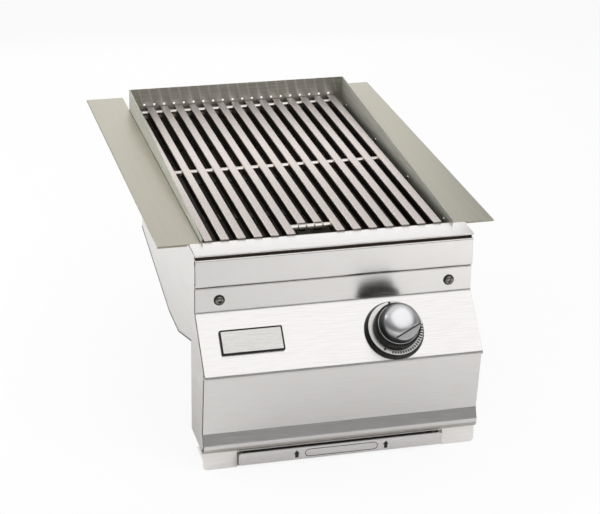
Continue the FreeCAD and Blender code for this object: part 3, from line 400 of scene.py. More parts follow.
def piece(name, shape, material, body, stands_for=(), edge=0.0):
    """Put a shape into a mesh, merge its seams and poles, turn its faces outward and tie it to the frame."""
    vertices, faces = shape
    mesh = bpy.data.meshes.new(name)
    mesh.from_pydata(vertices.tolist(), [], faces)
    work = bmesh.new()
    work.from_mesh(mesh)
    bmesh.ops.remove_doubles(work, verts=work.verts, dist=MERGED)
    bmesh.ops.recalc_face_normals(work, faces=work.faces)
    work.to_mesh(mesh)
    work.free()
    mesh.shade_smooth()
    mesh.set_sharp_from_angle(angle=CREASE)
    thing = bpy.data.objects.new(name, mesh)
    bpy.context.collection.objects.link(thing)
    mesh.materials.append(material)
    if edge:
        bevel = thing.modifiers.new("edge", "BEVEL")
        bevel.width = edge
        bevel.segments = 2
        bevel.limit_method = "ANGLE"
        bevel.angle_limit = BROKEN
        bevel.harden_normals = True
    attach(thing, body)
    if stands_for:
        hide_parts(*stands_for)


# Materials


def add(tree, kind, inputs=(), **settings):
    """Add a node: settings go on the node, inputs are values or the sockets that feed them."""
    node = tree.nodes.new(kind)
    for key, value in settings.items():
        setattr(node, key, value)
    for key, value in dict(inputs).items():
        socket = node.inputs[key]
        if isinstance(value, bpy.types.NodeSocket):
            tree.links.new(value, socket)
        else:
            socket.default_value = value
    return node


def started(name):
    """Empty material with its shader and output."""
    material = bpy.data.materials.new(name)
    material.use_nodes = True
    tree = material.node_tree
    tree.nodes.clear()
    shader = add(tree, "ShaderNodeBsdfPrincipled")
    add(tree, "ShaderNodeOutputMaterial", {"Surface": shader.outputs["BSDF"]})
    return material, tree, shader


def grained(name, light, dark, grain, roughness, spread=0.06, relief=0.02, metallic=1.0, specular=0.5):
    """Metal or other surface with a directed grain: noise stretched to the grain's size along X, Y and Z in
    millimetres mixes two colours, moves the roughness by its spread, and raises a slight relief."""
    material, tree, shader = started(name)
    light, dark = (linear(tone) if isinstance(tone, str) else tone for tone in (light, dark))
    place = add(tree, "ShaderNodeTexCoord").outputs["Object"]
    fine = add(tree, "ShaderNodeMapping", {"Vector": place, "Scale": [1 / (g * MM) for g in grain]})
    streak = add(tree, "ShaderNodeTexNoise", {"Vector": fine.outputs["Vector"], "Scale": 1.0, "Detail": 4.0,
                                              "Roughness": 0.65}).outputs["Fac"]
    shade = add(tree, "ShaderNodeMapRange", {"Value": streak, "From Min": 0.3, "From Max": 0.7})
    tone = add(tree, "ShaderNodeMix", {"Factor": shade.outputs["Result"], "A": dark, "B": light},
               data_type="RGBA")
    gloss = add(tree, "ShaderNodeMapRange", {"Value": streak, "From Min": 0.25, "From Max": 0.75,
                                             "To Min": roughness - spread, "To Max": roughness + spread})
    bump = add(tree, "ShaderNodeBump", {"Height": streak, "Strength": relief, "Distance": 0.2 * MM})
    for socket, source in (("Base Color", tone.outputs["Result"]), ("Roughness", gloss.outputs["Result"]),
                           ("Normal", bump.outputs["Normal"])):
        tree.links.new(source, shader.inputs[socket])
    shader.inputs["Metallic"].default_value = metallic
    shader.inputs["Specular IOR Level"].default_value = specular
    return material


def overlaid(material, factor, tint):
    """Mix a tint into a material's base colour by a factor socket."""
    tree = material.node_tree
    base = tree.nodes["Principled BSDF"].inputs["Base Color"]
    tone = add(tree, "ShaderNodeMix", {"Factor": factor, "A": base.links[0].from_socket, "B": linear(tint)},
               data_type="RGBA")
    tree.links.new(tone.outputs["Result"], base)
    return material


def painted_shade_below(material, low, high, tint, axis=(0, 0, 1)):
    """Painted shade: a tint that is full below one height along an axis and gone above another."""
    tree = material.node_tree
    place = add(tree, "ShaderNodeTexCoord").outputs["Object"]
    height = add(tree, "ShaderNodeVectorMath", {0: place, 1: axis}, operation="DOT_PRODUCT")
    rise = add(tree, "ShaderNodeMapRange", {"Value": height.outputs["Value"], "From Min": low,
                                            "From Max": high, "To Min": 1.0, "To Max": 0.0},
               interpolation_type="SMOOTHSTEP")
    return overlaid(material, rise.outputs["Result"], tint)


def brushed(material, along, amount):
    """Reflections drawn out across a grain that runs along a direction: anisotropy, turned a quarter from
    it."""
    tree = material.node_tree
    shader = tree.nodes["Principled BSDF"]
    way = add(tree, "ShaderNodeCombineXYZ", dict(zip("XYZ", along)))
    tree.links.new(way.outputs["Vector"], shader.inputs["Tangent"])
    shader.inputs["Anisotropic"].default_value = amount
    shader.inputs["Anisotropic Rotation"].default_value = 0.25
    return material


def painted_highlight_streaks(material, pitch, lean, foot, face, tint):
    """Painted highlight: pale upright streaks on the front of a wall, above a foot: X plus the lean times Z,
    counted in pitches; a streak lies where its fraction is near one half."""
    tree = material.node_tree
    parts = add(tree, "ShaderNodeSeparateXYZ", {"Vector": add(tree, "ShaderNodeTexCoord").outputs["Object"]})
    slid = add(tree, "ShaderNodeMath", {0: parts.outputs["Z"], 1: lean, 2: parts.outputs["X"]},
               operation="MULTIPLY_ADD")
    count = add(tree, "ShaderNodeMath", {0: slid.outputs["Value"], 1: pitch}, operation="DIVIDE")
    share = add(tree, "ShaderNodeMath", {0: count.outputs["Value"]}, operation="FRACT")
    aside = add(tree, "ShaderNodeMath", {0: share.outputs["Value"], 1: 0.5}, operation="SUBTRACT")
    away = add(tree, "ShaderNodeMath", {0: aside.outputs["Value"]}, operation="ABSOLUTE")
    line = add(tree, "ShaderNodeMapRange", {"Value": away.outputs["Value"], "From Min": 0.03,
                                            "From Max": 0.17, "To Min": 0.5, "To Max": 0.0},
               interpolation_type="SMOOTHSTEP")
    above = add(tree, "ShaderNodeMath", {0: parts.outputs["Z"], 1: foot}, operation="GREATER_THAN")
    front = add(tree, "ShaderNodeMath", {0: parts.outputs["Y"], 1: face}, operation="LESS_THAN")
    room = add(tree, "ShaderNodeMath", {0: above.outputs["Value"], 1: front.outputs["Value"]},
               operation="MULTIPLY")
    factor = add(tree, "ShaderNodeMath", {0: line.outputs["Result"], 1: room.outputs["Value"]},
                 operation="MULTIPLY")
    return overlaid(material, factor.outputs["Value"], tint)


MATERIALS = {}


def make_materials():
    """All finishes of the station by a short name. Brushed, ground and turned lines are drawn coarser than
    real ones, so that they show."""
    c, h, k = sizes("colours"), sizes("housing"), sizes("knob")
    ledge_top = 2 * h.gauge

    def finish(key, *look, **more):
        """Grained material, kept under a short name."""
        MATERIALS[key] = grained(*look, **more)
        return MATERIALS[key]

    def front_sheet(key, name, metallic=1.0):
        """Sheet of the front, with its grain along X."""
        sheet = finish(key, name, c.panel_light, c.panel_dark, (28, 0.7, 0.7), 0.22, spread=0.03,
                       relief=0.015, metallic=metallic)
        return brushed(sheet, (1.0, 0.0, 0.0), 0.85)

    # Stainless sheet, brushed across the front: fine level lines, bright with soft streaks
    front_sheet("panel", "stainless_sheet_brushed_level")
    # The same on the ledge, with painted shade where its tongue runs down behind the groove
    nose = ledge_top - h.ledge_nose
    ledge = front_sheet("ledge", "stainless_sheet_brushed_browned_tongue")
    # painted shade: dark tint on the tongue, where the groove under the nose lies in shade
    painted_shade_below(ledge, low=nose + 0.2 * MM, high=nose + 0.6 * MM, tint="#6e6259")
    # The same on the lower panel, darker below the front of its lip as painted shade
    lip = ledge_top - h.lip_drop
    lower = front_sheet("lower", "stainless_sheet_brushed_painted_lip_shade")
    # painted shade: grey tint on the lip's lower roll, standing for the dark it mirrors
    painted_shade_below(lower, low=lip - 2.2 * MM, high=lip - 0.8 * MM, tint="#bdb9b4")
    # Tray's front: the same grain under a thin dull film, so it takes more of the light from the floor
    front_sheet("tray", "stainless_sheet_brushed_filmed", metallic=0.72)
    # Skirt: rolled sheet with a pale film, whiter than the brushed panels
    finish("skirt", "stainless_sheet_bright_rolled", "#f8f5f4", "#ece8e6", (40, 1.0, 1.0), 0.4, metallic=0.45)
    # Stainless sheet as rolled: dull olive grey with faint lengthwise lines
    finish("wing", "stainless_sheet_rolled_dull", c.wing_light, c.wing_dark, (3, 160, 3), 0.42)
    # Stainless liner, brushed level: grey, dulled by heat
    finish("liner", "stainless_liner_brushed", c.liner_light, c.liner_dark, (60, 60, 1.0), 0.62)
    # The same at the rear, with painted pale highlight streaks leaning above the vents
    rear = finish("rear", "stainless_liner_brushed_vent_streaks", "#dcdcd3", "#babab1", (60, 60, 1.0), 0.42)
    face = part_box("liner_rear")[0][1] + 0.3 * MM
    # painted highlight: pale streaks above the vents
    painted_highlight_streaks(rear, pitch=13.17 * MM, lean=0.25, foot=7.2 * MM, face=face, tint="#f4f4ee")
    # Stainless side plates, brushed along the depth: bright with long fine lines
    finish("side", "stainless_plate_brushed_lengthwise", c.panel_light, c.panel_dark, (1.0, 90, 1.0), 0.33)
    # Stainless rods: ground bright on top with short scratches, darkened down their sides as painted shade of
    # the narrow gaps between them
    rod = finish("rod", "stainless_rod_ground_painted_side_shade", c.rod_light, c.rod_dark, (1.6, 2.6, 1.6), 0.48, relief=0.06)
    top = sizes("grate").top
    # painted shade: dark tint down the rods' sides
    painted_shade_below(rod, low=top - 2.4 * MM, high=top - 0.6 * MM, tint="#453b36")
    # Stainless wire, drawn: bright and smooth
    finish("bar", "stainless_bar_drawn", "#f0ece8", "#d8d2cc", (25, 1.2, 1.2), 0.22)
    # Weld beads: bright lumps with heat tint
    finish("weld", "stainless_weld_bead", "#efe6dc", "#a89a8c", (1.2, 1.2, 1.2), 0.3, relief=0.2)
    # Burner sheet: plain, dark with heat tint; also the dark strips and rims that stand for painted shade at
    # the side plates
    finish("burner", "stainless_burner_sheet_heat_tinted", "#5a534b", "#37312b", (14, 14, 6), 0.42)
    # Screws: plated steel, smooth and grey
    finish("screw", "steel_screw_nickel_plated", "#a09e9a", "#75726e", (1.5, 1.5, 1.5), 0.25)
    # Washers: moulded black rubber, dull
    finish("washer", "rubber_washer_moulded", "#2b2a29", "#1c1b1a", (0.6, 0.6, 0.6), 0.7, metallic=0.0,
           relief=0.05)
    # Bezel and knob skirt: moulded black plastic with a satin skin
    finish("plastic", "black_plastic_moulded_satin", "#141211", "#0b0a0a", (0.8, 0.8, 0.8), 0.42,
           metallic=0.0, relief=0.03, specular=0.3)
    # Card plate of the tray: matt black and blank, its black standing for painted shade in the slot behind
    # the tray's front
    finish("card", "steel_card_plate_painted_matt", "#1f1e1d", "#131212", (2, 2, 2), 0.55, metallic=0.0)
    # Dial face and nameplate field: aluminium with a fine level grain
    finish("dial", "aluminium_sheet_fine_grain", "#dedddb", "#bdbbb8", (12, 0.6, 0.6), 0.36)
    # Dome: die-cast zinc, satin chrome plated, darker towards its foot as painted shade and dark reflection
    # on its side wall
    dome = finish("dome", "zinc_knob_satin_chrome_painted_foot_shade", "#e2e2e4", "#d6d6d8", (0.7, 0.7, 0.7), 0.3,
                  spread=0.03)
    origin, _, _, axis = knob_place()
    foot = origin @ axis + k.bezel_height + k.dial_height + k.gap + k.skirt_height
    # painted shade and dark reflection: dark tint round the dome's foot
    painted_shade_below(dome, low=foot + 0.4 * k.dome_height, high=foot + 0.88 * k.dome_height, tint="#343436", axis=axis)
    # The knob's flat: the same plate, ground darker with fine lines
    finish("flat", "zinc_knob_flat_ground", "#bcbcbe", "#909093", (6, 0.6, 0.6), 0.38)
    # Bright ring on the skirt: polished chrome plate, like a mirror
    finish("bead", "steel_ring_chrome_plated", "#e6e6e8", "#d6d6d8", (3, 3, 3), 0.1, spread=0.03)
    # Printed marks, and the painted shade line along the knob's step: matt black ink, slightly uneven in tone
    finish("ink_and_shade", "ink_screen_printed_matt", "#232221", "#121111", (0.7, 0.7, 0.7), 0.6, metallic=0.0)
    # Brass fittings, turned: yellow with fine rings
    finish("brass", "brass_fitting_turned", "#d1b26a", "#b08f48", (0.5, 2.0, 0.5), 0.28)
    # Valve: die-cast aluminium, grey with a sandy skin
    finish("cast", "aluminium_valve_die_cast", "#a9a9a6", "#8a8a87", (0.9, 0.9, 0.9), 0.48, relief=0.12)
    # Gas pipe: zinc plated steel with a faint spangle
    finish("pipe", "steel_pipe_zinc_plated", "#b3b5b4", "#8f9190", (6, 6, 6), 0.4)
    # Stem and sleeve: turned steel, grey with fine lines
    finish("stem", "steel_stem_turned", "#b9b9b8", "#979796", (4, 0.6, 0.6), 0.3)
    # Electrode: glazed alumina, white and shiny
    finish("alumina", "alumina_electrode_glazed", "#efebe2", "#e2dccf", (5, 5, 5), 0.2, metallic=0.0)
    # Ignition lead: extruded silicone sleeve, orange red and soft
    finish("lead", "silicone_lead_extruded", "#b8482a", "#96381f", (3, 3, 14), 0.5, metallic=0.0)
    MATERIALS["tile"] = tile_material()


def tile_material():
    """Cordierite burner tile, pressed: brown and chalky, with rows of round flame holes painted dark as the
    shade inside them, and clouds of soot."""
    material, tree, shader = started("cordierite_tile_pressed_perforated")
    place = add(tree, "ShaderNodeTexCoord").outputs["Object"]
    hole_pitch, cloud = 3 * MM, 35 * MM
    cells = add(tree, "ShaderNodeTexVoronoi", {"Vector": place, "Scale": 1 / hole_pitch, "Randomness": 0.0},
                voronoi_dimensions="2D")
    hole = add(tree, "ShaderNodeMapRange", {"Value": cells.outputs["Distance"], "From Min": 0.2,
                                            "From Max": 0.3})
    soot = add(tree, "ShaderNodeTexNoise", {"Vector": place, "Scale": 1 / cloud, "Detail": 3.0})
    body = add(tree, "ShaderNodeMix", {"Factor": soot.outputs["Fac"], "A": linear("#3a332c"),
                                       "B": linear("#554b41")}, data_type="RGBA")
    # painted shade: the flame holes are dark spots, standing for the shade inside them
    tone = add(tree, "ShaderNodeMix", {"Factor": hole.outputs["Result"], "A": linear("#1a1613"),
                                       "B": body.outputs["Result"]}, data_type="RGBA")
    bump = add(tree, "ShaderNodeBump", {"Height": hole.outputs["Result"], "Strength": 0.6,
                                        "Distance": 0.5 * MM})
    tree.links.new(tone.outputs["Result"], shader.inputs["Base Color"])
    tree.links.new(bump.outputs["Normal"], shader.inputs["Normal"])
    shader.inputs["Roughness"].default_value = 0.85
    return material


# Places on the housing


def section(*pairs):
    """Points of the housing's section from reach and drop: Y is minus the reach, Z is the ledge less the
    drop."""
    top = 2 * sizes("housing").gauge
    return np.array([(-reach, top - drop) for reach, drop in pairs])


def swept_level(loop, low_x, high_x, ends="strip"):
    """Section in Y and Z carried along X between two ends."""
    return loft([np.concatenate([np.full((len(loop), 1), x), loop], 1) for x in (low_x, high_x)], ends)


def face_axes():
    """Middle of the slanted face's top edge, its direction down the slope, and its outward normal."""
    h = sizes("housing")
    top, bottom = section((h.ledge_reach - h.recess, h.face_drop), (h.nose_reach, h.nose_drop))
    down = np.array([0, *(bottom - top)])
    normal = np.array([0, down[2], -down[1]]) / np.linalg.norm(down)
    return np.array([0, *top]), down, normal


def knob_place():
    """Middle of the knob on the slanted face, with its right, up and outward directions."""
    k = sizes("knob")
    top, down, normal = face_axes()
    origin = top + down * k.place + np.array([k.place_x, 0, 0])
    return origin, np.array([1.0, 0, 0]), -down / np.linalg.norm(down), normal


# Operators, one for each group of pieces


class STATION_OT_finishes(bpy.types.Operator):
    """Make the finishes and dress the CAD pieces that stay"""

    bl_idname = "station.finishes"
    bl_label = "Finishes"

    KEPT = {
        "wing": ("bottom_shield", "lower_brace", "tray_runner_left", "tray_runner_right", "panel_brackets"),
        "liner": ("liner_left", "liner_right", "liner_front", "firebox_floor", "grate_rest_front",
                  "grate_rest_rear"),
        "rear": ("liner_rear",),
        "card": ("tray_plate",),
        "skirt": ("base_skirt",),
        "burner": ("burner_pan", "burner_frame", "burner_brackets", "venturi_tube", "air_shutter"),
        "tile": ("ceramic_tiles",),
        "stem": ("valve_stem", "stem_sleeve"),
        "cast": ("valve_body",),
        "pipe": ("manifold_pipe", "manifold_elbow"),
        "brass": ("burner_orifice",),
        "plastic": ("piezo_igniter",),
        "alumina": ("igniter_electrode",),
        "lead": ("igniter_lead",),
    }

    def execute(self, context):
        make_materials()
        for finish, nodes in self.KEPT.items():
            for node in nodes:
                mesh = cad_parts[node].data
                mesh.materials.clear()
                mesh.materials.append(MATERIALS[finish])
        return {"FINISHED"}


class STATION_OT_front(bpy.types.Operator):
    """Fold the ledge, the control panel and the lower panel"""

    bl_idname = "station.front"
    bl_label = "Front sheets"

    def execute(self, context):
        h = sizes("housing")
        half = h.panel_width / 2
        screw_face = h.ledge_reach - h.recess
        hem, lip = h.nose_drop + h.nose_hem, h.nose_drop + h.nose_lip
        band_end = h.band_bottom + h.joggle
        groove_top, groove_back = band_end - h.groove, screw_face - h.groove_depth
        nose_round = h.ledge_nose / 2
        # Each piece: its node, its finish, its section, and its own folds from a numbered corner on
        sheets = {
            "ledge_trim": ("top_ledge", "ledge", section(
                (0, 0), (h.ledge_reach, 0), (h.ledge_reach, h.ledge_nose), (h.tongue_reach, h.ledge_nose),
                (h.tongue_reach, h.tongue_drop)), 0, (nose_round, nose_round)),
            "panel_fold": ("control_panel", "panel", section(
                (h.tongue_reach, h.band_drop), (h.ledge_reach, h.band_drop), (h.ledge_reach, groove_top),
                (groove_back, groove_top), (groove_back, band_end), (screw_face, band_end),
                (screw_face, h.face_drop), (h.nose_reach, h.nose_drop), (h.nose_reach + h.nose_lean, lip),
                (h.nose_reach - h.hem_return, lip)), 2,
                (h.groove_fold, h.groove_fold, h.band_fold, h.face_fold, h.nose_fold, h.hem_fold)),
            "lower_fold": ("lower_panel", "lower", section(
                (h.nose_reach - h.hem_return - h.lower_setback, hem), (h.nose_reach - h.lower_setback, hem),
                (h.lower_reach, h.lower_drop), (h.lip_reach, h.lip_drop), (h.foot_reach, h.foot_drop),
                (h.foot_reach - h.foot_return, h.foot_drop)), 2, (h.lip_fold, h.foot_fold)),
        }
        for name, (node, finish, path, first, folds) in sheets.items():
            radii = [h.bend + h.gauge if turn > 0 else h.bend for turn in corner_turns(path)]
            radii[first:first + len(folds)] = folds
            shape = swept_level(folded_loop(path, radii, h.gauge), -half, half)
            piece(name, shape, MATERIALS[finish], "station", [node], edge=SHEET_EDGE)
        return {"FINISHED"}


class STATION_OT_sides(bpy.types.Operator):
    """Side plates, set back from the front sheets by a seam, with dark strips as painted shade behind the
    seams and dark rims as painted shade along the shield's edge below them
    """

    bl_idname = "station.sides"
    bl_label = "Side plates"

    def execute(self, context):
        h = sizes("housing")
        half, ledge_top = h.panel_width / 2, 2 * h.gauge
        screw_face, lower_top = h.ledge_reach - h.recess, h.nose_reach - h.lower_setback
        gap, rim_height, rim_width = 0.3 * MM, 1.4 * MM, 6 * MM
        low_front = ((h.lower_reach, h.lower_drop), (h.lip_reach, h.lip_drop), (h.foot_reach, h.foot_drop))
        front = section((h.ledge_reach, h.band_drop), (h.ledge_reach, h.band_bottom),
                        (screw_face, h.band_bottom + h.joggle), (screw_face, h.face_drop),
                        (h.nose_reach, h.nose_drop), (lower_top, h.nose_drop + h.nose_hem), *low_front)
        front = offset_path(front, h.gauge + h.seam)
        back = section((h.foot_reach - h.foot_return, h.foot_drop), (h.cap_back, h.foot_drop))
        shield = section((h.cap_back, h.shield_front_drop), (-h.dip_front, h.dip_drop),
                         (-h.dip_rear, h.dip_drop), (-h.shield_rear, h.shield_rear_drop))
        top = ledge_top - h.gauge - h.top_seam
        outline = np.concatenate([[(h.shield_rear, top), (front[0, 0], top)], front, back, shield])
        rim = np.concatenate([shield, offset_path(shield, -rim_height)[::-1]])
        # Painted shade behind each seam: a dark strip along the front sheets' ends, moved inward by less and
        # by more than the seam
        edge = section((screw_face, h.band_drop), (screw_face, h.face_drop), (lower_top, h.nose_drop),
                       *low_front)
        strip = np.concatenate([offset_path(edge, h.gauge + 0.5 * MM), offset_path(edge, 2 * h.seam)[::-1]])
        for side, name in ((-1, "left"), (1, "right")):
            shape = swept_level(strip, side * (half - h.gauge - gap), side * (half - 2 * h.gauge), "face")
            piece("seam_shade_strip_" + name, shape, MATERIALS["burner"], "station")
            shape = swept_level(outline, side * half, side * (half - h.gauge), "face")
            piece("side_" + name, shape, MATERIALS["side"], "station",
                  ["side_plate_" + name], edge=SHEET_EDGE)
            # painted shade: dark rim along the shield's edge below each side plate
            shape = swept_level(rim, side * (half + gap), side * (half - rim_width), "face")
            piece("shield_shade_rim_" + name, shape, MATERIALS["burner"], "station")
        return {"FINISHED"}


class STATION_OT_wings(bpy.types.Operator):
    """Fold the hanging wings with their hemmed strips"""

    bl_idname = "station.wings"
    bl_label = "Wings"

    def execute(self, context):
        w, h = sizes("wings"), sizes("housing")
        top, slit = 2 * h.gauge, 0.1 * MM
        sheet = h.gauge - slit / 2
        wall, outer = w.liner_width / 2, w.span / 2
        path = [(wall, -w.leg), (wall, top), (outer, top), (outer, 0), (outer - w.hem, 0)]
        loop = folded_loop(path[::-1], [h.gauge, h.gauge, h.bend + h.gauge], sheet)
        for side, name in ((-1, "left"), (1, "right")):
            ends = [np.stack([side * loop[:, 0], np.full(len(loop), y), loop[:, 1]], 1) for y in (0, w.depth)]
            piece("wing_" + name, loft(ends, "strip"), MATERIALS["wing"], "station",
                  ["hanger_" + name], edge=SHEET_EDGE)
        return {"FINISHED"}


class STATION_OT_grate(bpy.types.Operator):
    """Rods, cross bars and their welds"""

    bl_idname = "station.grate"
    bl_label = "Grate"

    SHORT_RODS = (6, 7)

    def rod(self, middle, front, rear):
        """Rounded rectangle carried along Y, drawn in at both ends for a broken edge."""
        g = sizes("grate")
        broken = np.array([(0, 0.6), (0.2, 0.25), (0.6, 0)]) * MM
        ends = [(front + run, inset) for run, inset in broken]
        ends += [(rear - run, inset) for run, inset in broken[::-1]]
        rings = []
        for y, inset in ends:
            loop = rounded_rect(g.width - 2 * inset, g.height - 2 * inset, g.edge)
            rings.append(np.stack([loop[:, 0] + middle, np.full(len(loop), y),
                                   loop[:, 1] + g.top - g.height / 2], 1))
        return loft(rings)

    def bar(self, low, high, y, z):
        """Round bar along X with domed ends."""
        radius, bulge = sizes("grate").bar_radius, 1.2 * MM
        angles = np.linspace(0, math.pi / 2, 6)
        dome = np.stack([radius * np.sin(angles), -bulge * np.cos(angles)], 1)
        profile = np.concatenate([dome + (0, bulge), (dome * (1, -1) + (0, high - low - bulge))[::-1]])
        return carried(turned(profile, 32), (low, y, z), (0, 1, 0), (0, 0, 1), (1, 0, 0))

    def bead(self, x, y, z, lump):
        """Weld bead: a thin ring round the bar at a rod's face, swelling to one side by a cosine."""
        radius, mean, swell = sizes("grate").bar_radius, 0.75 * MM, 0.3 * MM
        around = np.linspace(0, 2 * math.pi, 20, endpoint=False)[:, None]
        across = np.linspace(0, 2 * math.pi, 8, endpoint=False)[None, :]
        thick = mean + swell * np.cos(around - lump)
        reach = radius + thick * np.cos(across)
        rings = [x + thick * np.sin(across), y + reach * np.cos(around), z + reach * np.sin(around)]
        return loft(np.stack(rings, -1), "loop")

    def execute(self, context):
        g = sizes("grate")
        lift_y = g.front + g.slot
        z = g.top - g.bar_sink
        half = g.width / 2
        inside = sizes("wings").liner_width / 2 - sizes("housing").gauge
        middles = np.linspace(g.left_gap + half - inside, inside - g.right_gap - half, g.count)
        rods = [self.rod(x, lift_y + g.bar_radius / 2 if index in self.SHORT_RODS else g.front, g.rear)
                for index, x in enumerate(middles)]
        piece("grate_bars_flat", joined(rods), MATERIALS["rod"], "grate", ["grate_rods"])
        first, last = self.SHORT_RODS[0] - 1, self.SHORT_RODS[1] + 1
        mid_y = g.front + (g.rear - g.front) * g.mid_place
        bars = {"rear_bar": (g.rear - g.rear_inset, 0, g.count - 1), "mid_bar": (mid_y, 0, g.count - 1),
                "lift_bar": (lift_y, first, last)}
        draw = np.random.default_rng(7)
        beads = []
        for name, (y, low, high) in bars.items():
            shape = self.bar(middles[low] - half, middles[high] + half, y, z)
            piece(name, shape, MATERIALS["bar"], "grate", ["grate_" + name])
            for index in range(low, high + 1):
                for side in (-1, 1):
                    if (index, side) not in ((low, -1), (high, 1)):
                        beads.append(self.bead(middles[index] + side * half, y, z, draw.uniform(0.6, 2.5)))
        piece("grate_welds", joined(beads), MATERIALS["weld"], "grate")
        return {"FINISHED"}


class STATION_OT_knob(bpy.types.Operator):
    """Bezel, dial with its marks, and the knob"""

    bl_idname = "station.knob"
    bl_label = "Knob"

    def ring(self, inner, outer, low, high, edge):
        """Ring whose four edges are rounded by arcs."""
        corners = [((inner + outer) / 2, low), (outer, low), (outer, high), (inner, high), (inner, low),
                   ((inner + outer) / 2, low)]
        return turned(rounded_path(corners, [edge] * 4, 4)[:-1])

    def crown(self, away):
        """Height of the dome at a distance from its axis: a superellipse over its radius and height."""
        k = sizes("knob")
        share = np.clip(away / k.dome_radius, 0, 1)
        return k.dome_height * (1 - share ** k.dome_power) ** (1 / k.dome_power)

    def flat(self, along):
        """Height of the sloping flat at a distance from the axis: a line from the step down to the dome's
        side."""
        k = sizes("knob")
        chord = self.crown(k.flat_offset) - k.flat_step
        run = np.clip((along - k.flat_offset) / (k.dome_radius - k.flat_offset), 0, 1)
        return chord + run * (k.flat_rim - chord)

    def dome(self, base):
        """Superellipse turned round the axis. Beyond the chord at the flat's offset the height falls along a
        smooth step to the sloping flat."""
        k = sizes("knob")
        lean = np.linspace(0, math.pi / 2, 110)
        reach = k.dome_radius * np.sin(lean) ** (2 / k.dome_power)
        cap = np.stack([reach, self.crown(reach)], 1)
        vertices, faces = turned(np.concatenate([cap, [(0, 0)]]), 288)
        along = vertices[:, 0] * math.cos(k.flat_turn) + vertices[:, 1] * math.sin(k.flat_turn)
        over = np.maximum(vertices[:, 2] - self.flat(along), 0)
        vertices[:, 2] += base - over * smooth((along - k.flat_offset) / k.flat_fall)
        return vertices, faces

    def on_flat(self, base, near, far):
        """Thin sheet on the flat: rows across it, from a near distance to a far one or to the dome's side."""
        k = sizes("knob")
        side_gap, rim_gap, half_thick = 1.2 * MM, 0.5 * MM, 0.12 * MM
        reach = math.sqrt(k.dome_radius ** 2 - near ** 2) - side_gap
        across = np.linspace(-reach, reach, 41)[:, None]
        end = np.minimum(far, np.sqrt((k.dome_radius - rim_gap) ** 2 - across ** 2))
        along = near + np.linspace(0, 1, 12) * (end - near)
        outward = np.array([math.cos(k.flat_turn), math.sin(k.flat_turn), 0])
        sideways = np.array([-math.sin(k.flat_turn), math.cos(k.flat_turn), 0])
        sheet = across[..., None] * sideways + along[..., None] * outward
        sheet = sheet + (base + self.flat(along))[..., None] * np.array([0, 0, 1.0])
        lift = np.array([0, 0, half_thick])
        return loft(np.concatenate([sheet + lift, (sheet - lift)[:, ::-1]], 1), "strip")

    def marks(self, height):
        """Dial marks as thin inked plates: two dots and a row of radial strokes that grow along the arc."""
        k = sizes("knob")
        dots = ((94.5, 30.2 * MM), (-126, 28.8 * MM))
        dot_radius, stroke_width, stroke_corner = 1.5 * MM, 1.9 * MM, 0.3 * MM
        angles = np.radians(np.linspace(-107, 2, 19))
        lengths = np.linspace(2.4 * MM, 4.5 * MM, len(angles))
        reach = (k.dial_radius + k.skirt_radius) / 2
        shapes = []
        for angle, away in dots:
            spot = away * np.array([math.cos(math.radians(angle)), math.sin(math.radians(angle))])
            vertices, faces = turned([(0, 0), (dot_radius, 0), (dot_radius, INK), (0, INK)], 20)
            shapes.append((vertices + (*spot, height), faces))
        for angle, long in zip(angles, lengths):
            loop = rounded_rect(long, stroke_width, stroke_corner, 2) + (reach, 0)
            flat = np.stack([loop[:, 0] * math.cos(angle) - loop[:, 1] * math.sin(angle),
                             loop[:, 0] * math.sin(angle) + loop[:, 1] * math.cos(angle)], 1)
            shapes.append(loft([lifted(flat, height), lifted(flat, height + INK)]))
        return joined(shapes)

    def execute(self, context):
        k = sizes("knob")
        place = knob_place()
        dial_top = k.bezel_height + k.dial_height
        low = dial_top + k.gap
        high = low + k.skirt_height
        hub = low - k.hub_length
        cover, draft = 1.2 * MM, 0.6 * MM
        stem_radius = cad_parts["valve_stem"].dimensions.x / 2

        def seated(shape):
            return carried(shape, *place)

        middle = (k.bore + k.bezel_base) / 2
        bezel = rounded_path([(middle, 0), (k.bezel_base, 0), (k.bezel_radius, k.bezel_height),
                              (k.bore, k.bezel_height), (k.bore, 0), (middle, 0)],
                             [0.4 * MM, 0.5 * MM, 0.4 * MM, 0.4 * MM], 5)[:-1]
        piece("bezel", seated(turned(bezel)), MATERIALS["plastic"], "station",
              ["bezel_ring"])
        piece("dial", seated(self.ring(k.bore, k.dial_radius, k.bezel_height, dial_top, 0.3 * MM)),
              MATERIALS["dial"], "station", ["dial_plate"])
        piece("dial_marks", seated(self.marks(dial_top)), MATERIALS["ink_and_shade"], "station")
        skirt = rounded_path([(stem_radius, high - cover), (stem_radius, hub), (k.hub_radius, hub),
                              (k.hub_radius, low), (k.skirt_radius, low), (k.skirt_radius - draft, high),
                              (0, high)], [0.2 * MM, 0.4 * MM, 0.6 * MM, 0.8 * MM, 1.2 * MM], 5)
        piece("skirt", seated(turned(np.concatenate([[(0, high - cover)], skirt]))), MATERIALS["plastic"],
              "knob", ["knob_skirt"])
        half_bead = (k.bead_radius - k.dome_radius) / 2
        angles = np.linspace(0, 2 * math.pi, 16, endpoint=False)
        bead = np.stack([k.dome_radius + half_bead + half_bead * np.cos(angles),
                         high + k.bead_height / 2 * (1 + np.sin(angles))], 1)
        piece("bead", seated(turned(bead)), MATERIALS["bead"], "knob", ["knob_bead"])
        piece("dome", seated(self.dome(high)), MATERIALS["dome"], "knob", ["knob_dome"])
        # Ink strip along the step: painted shade of the step's wall, drawn as a dark line
        near = k.flat_offset + k.flat_fall
        far = near + k.flat_line
        piece("step_shade_line", seated(self.on_flat(high, near, far)), MATERIALS["ink_and_shade"], "knob")
        piece("knob_flat", seated(self.on_flat(high, far, k.dome_radius)), MATERIALS["flat"], "knob")
        return {"FINISHED"}


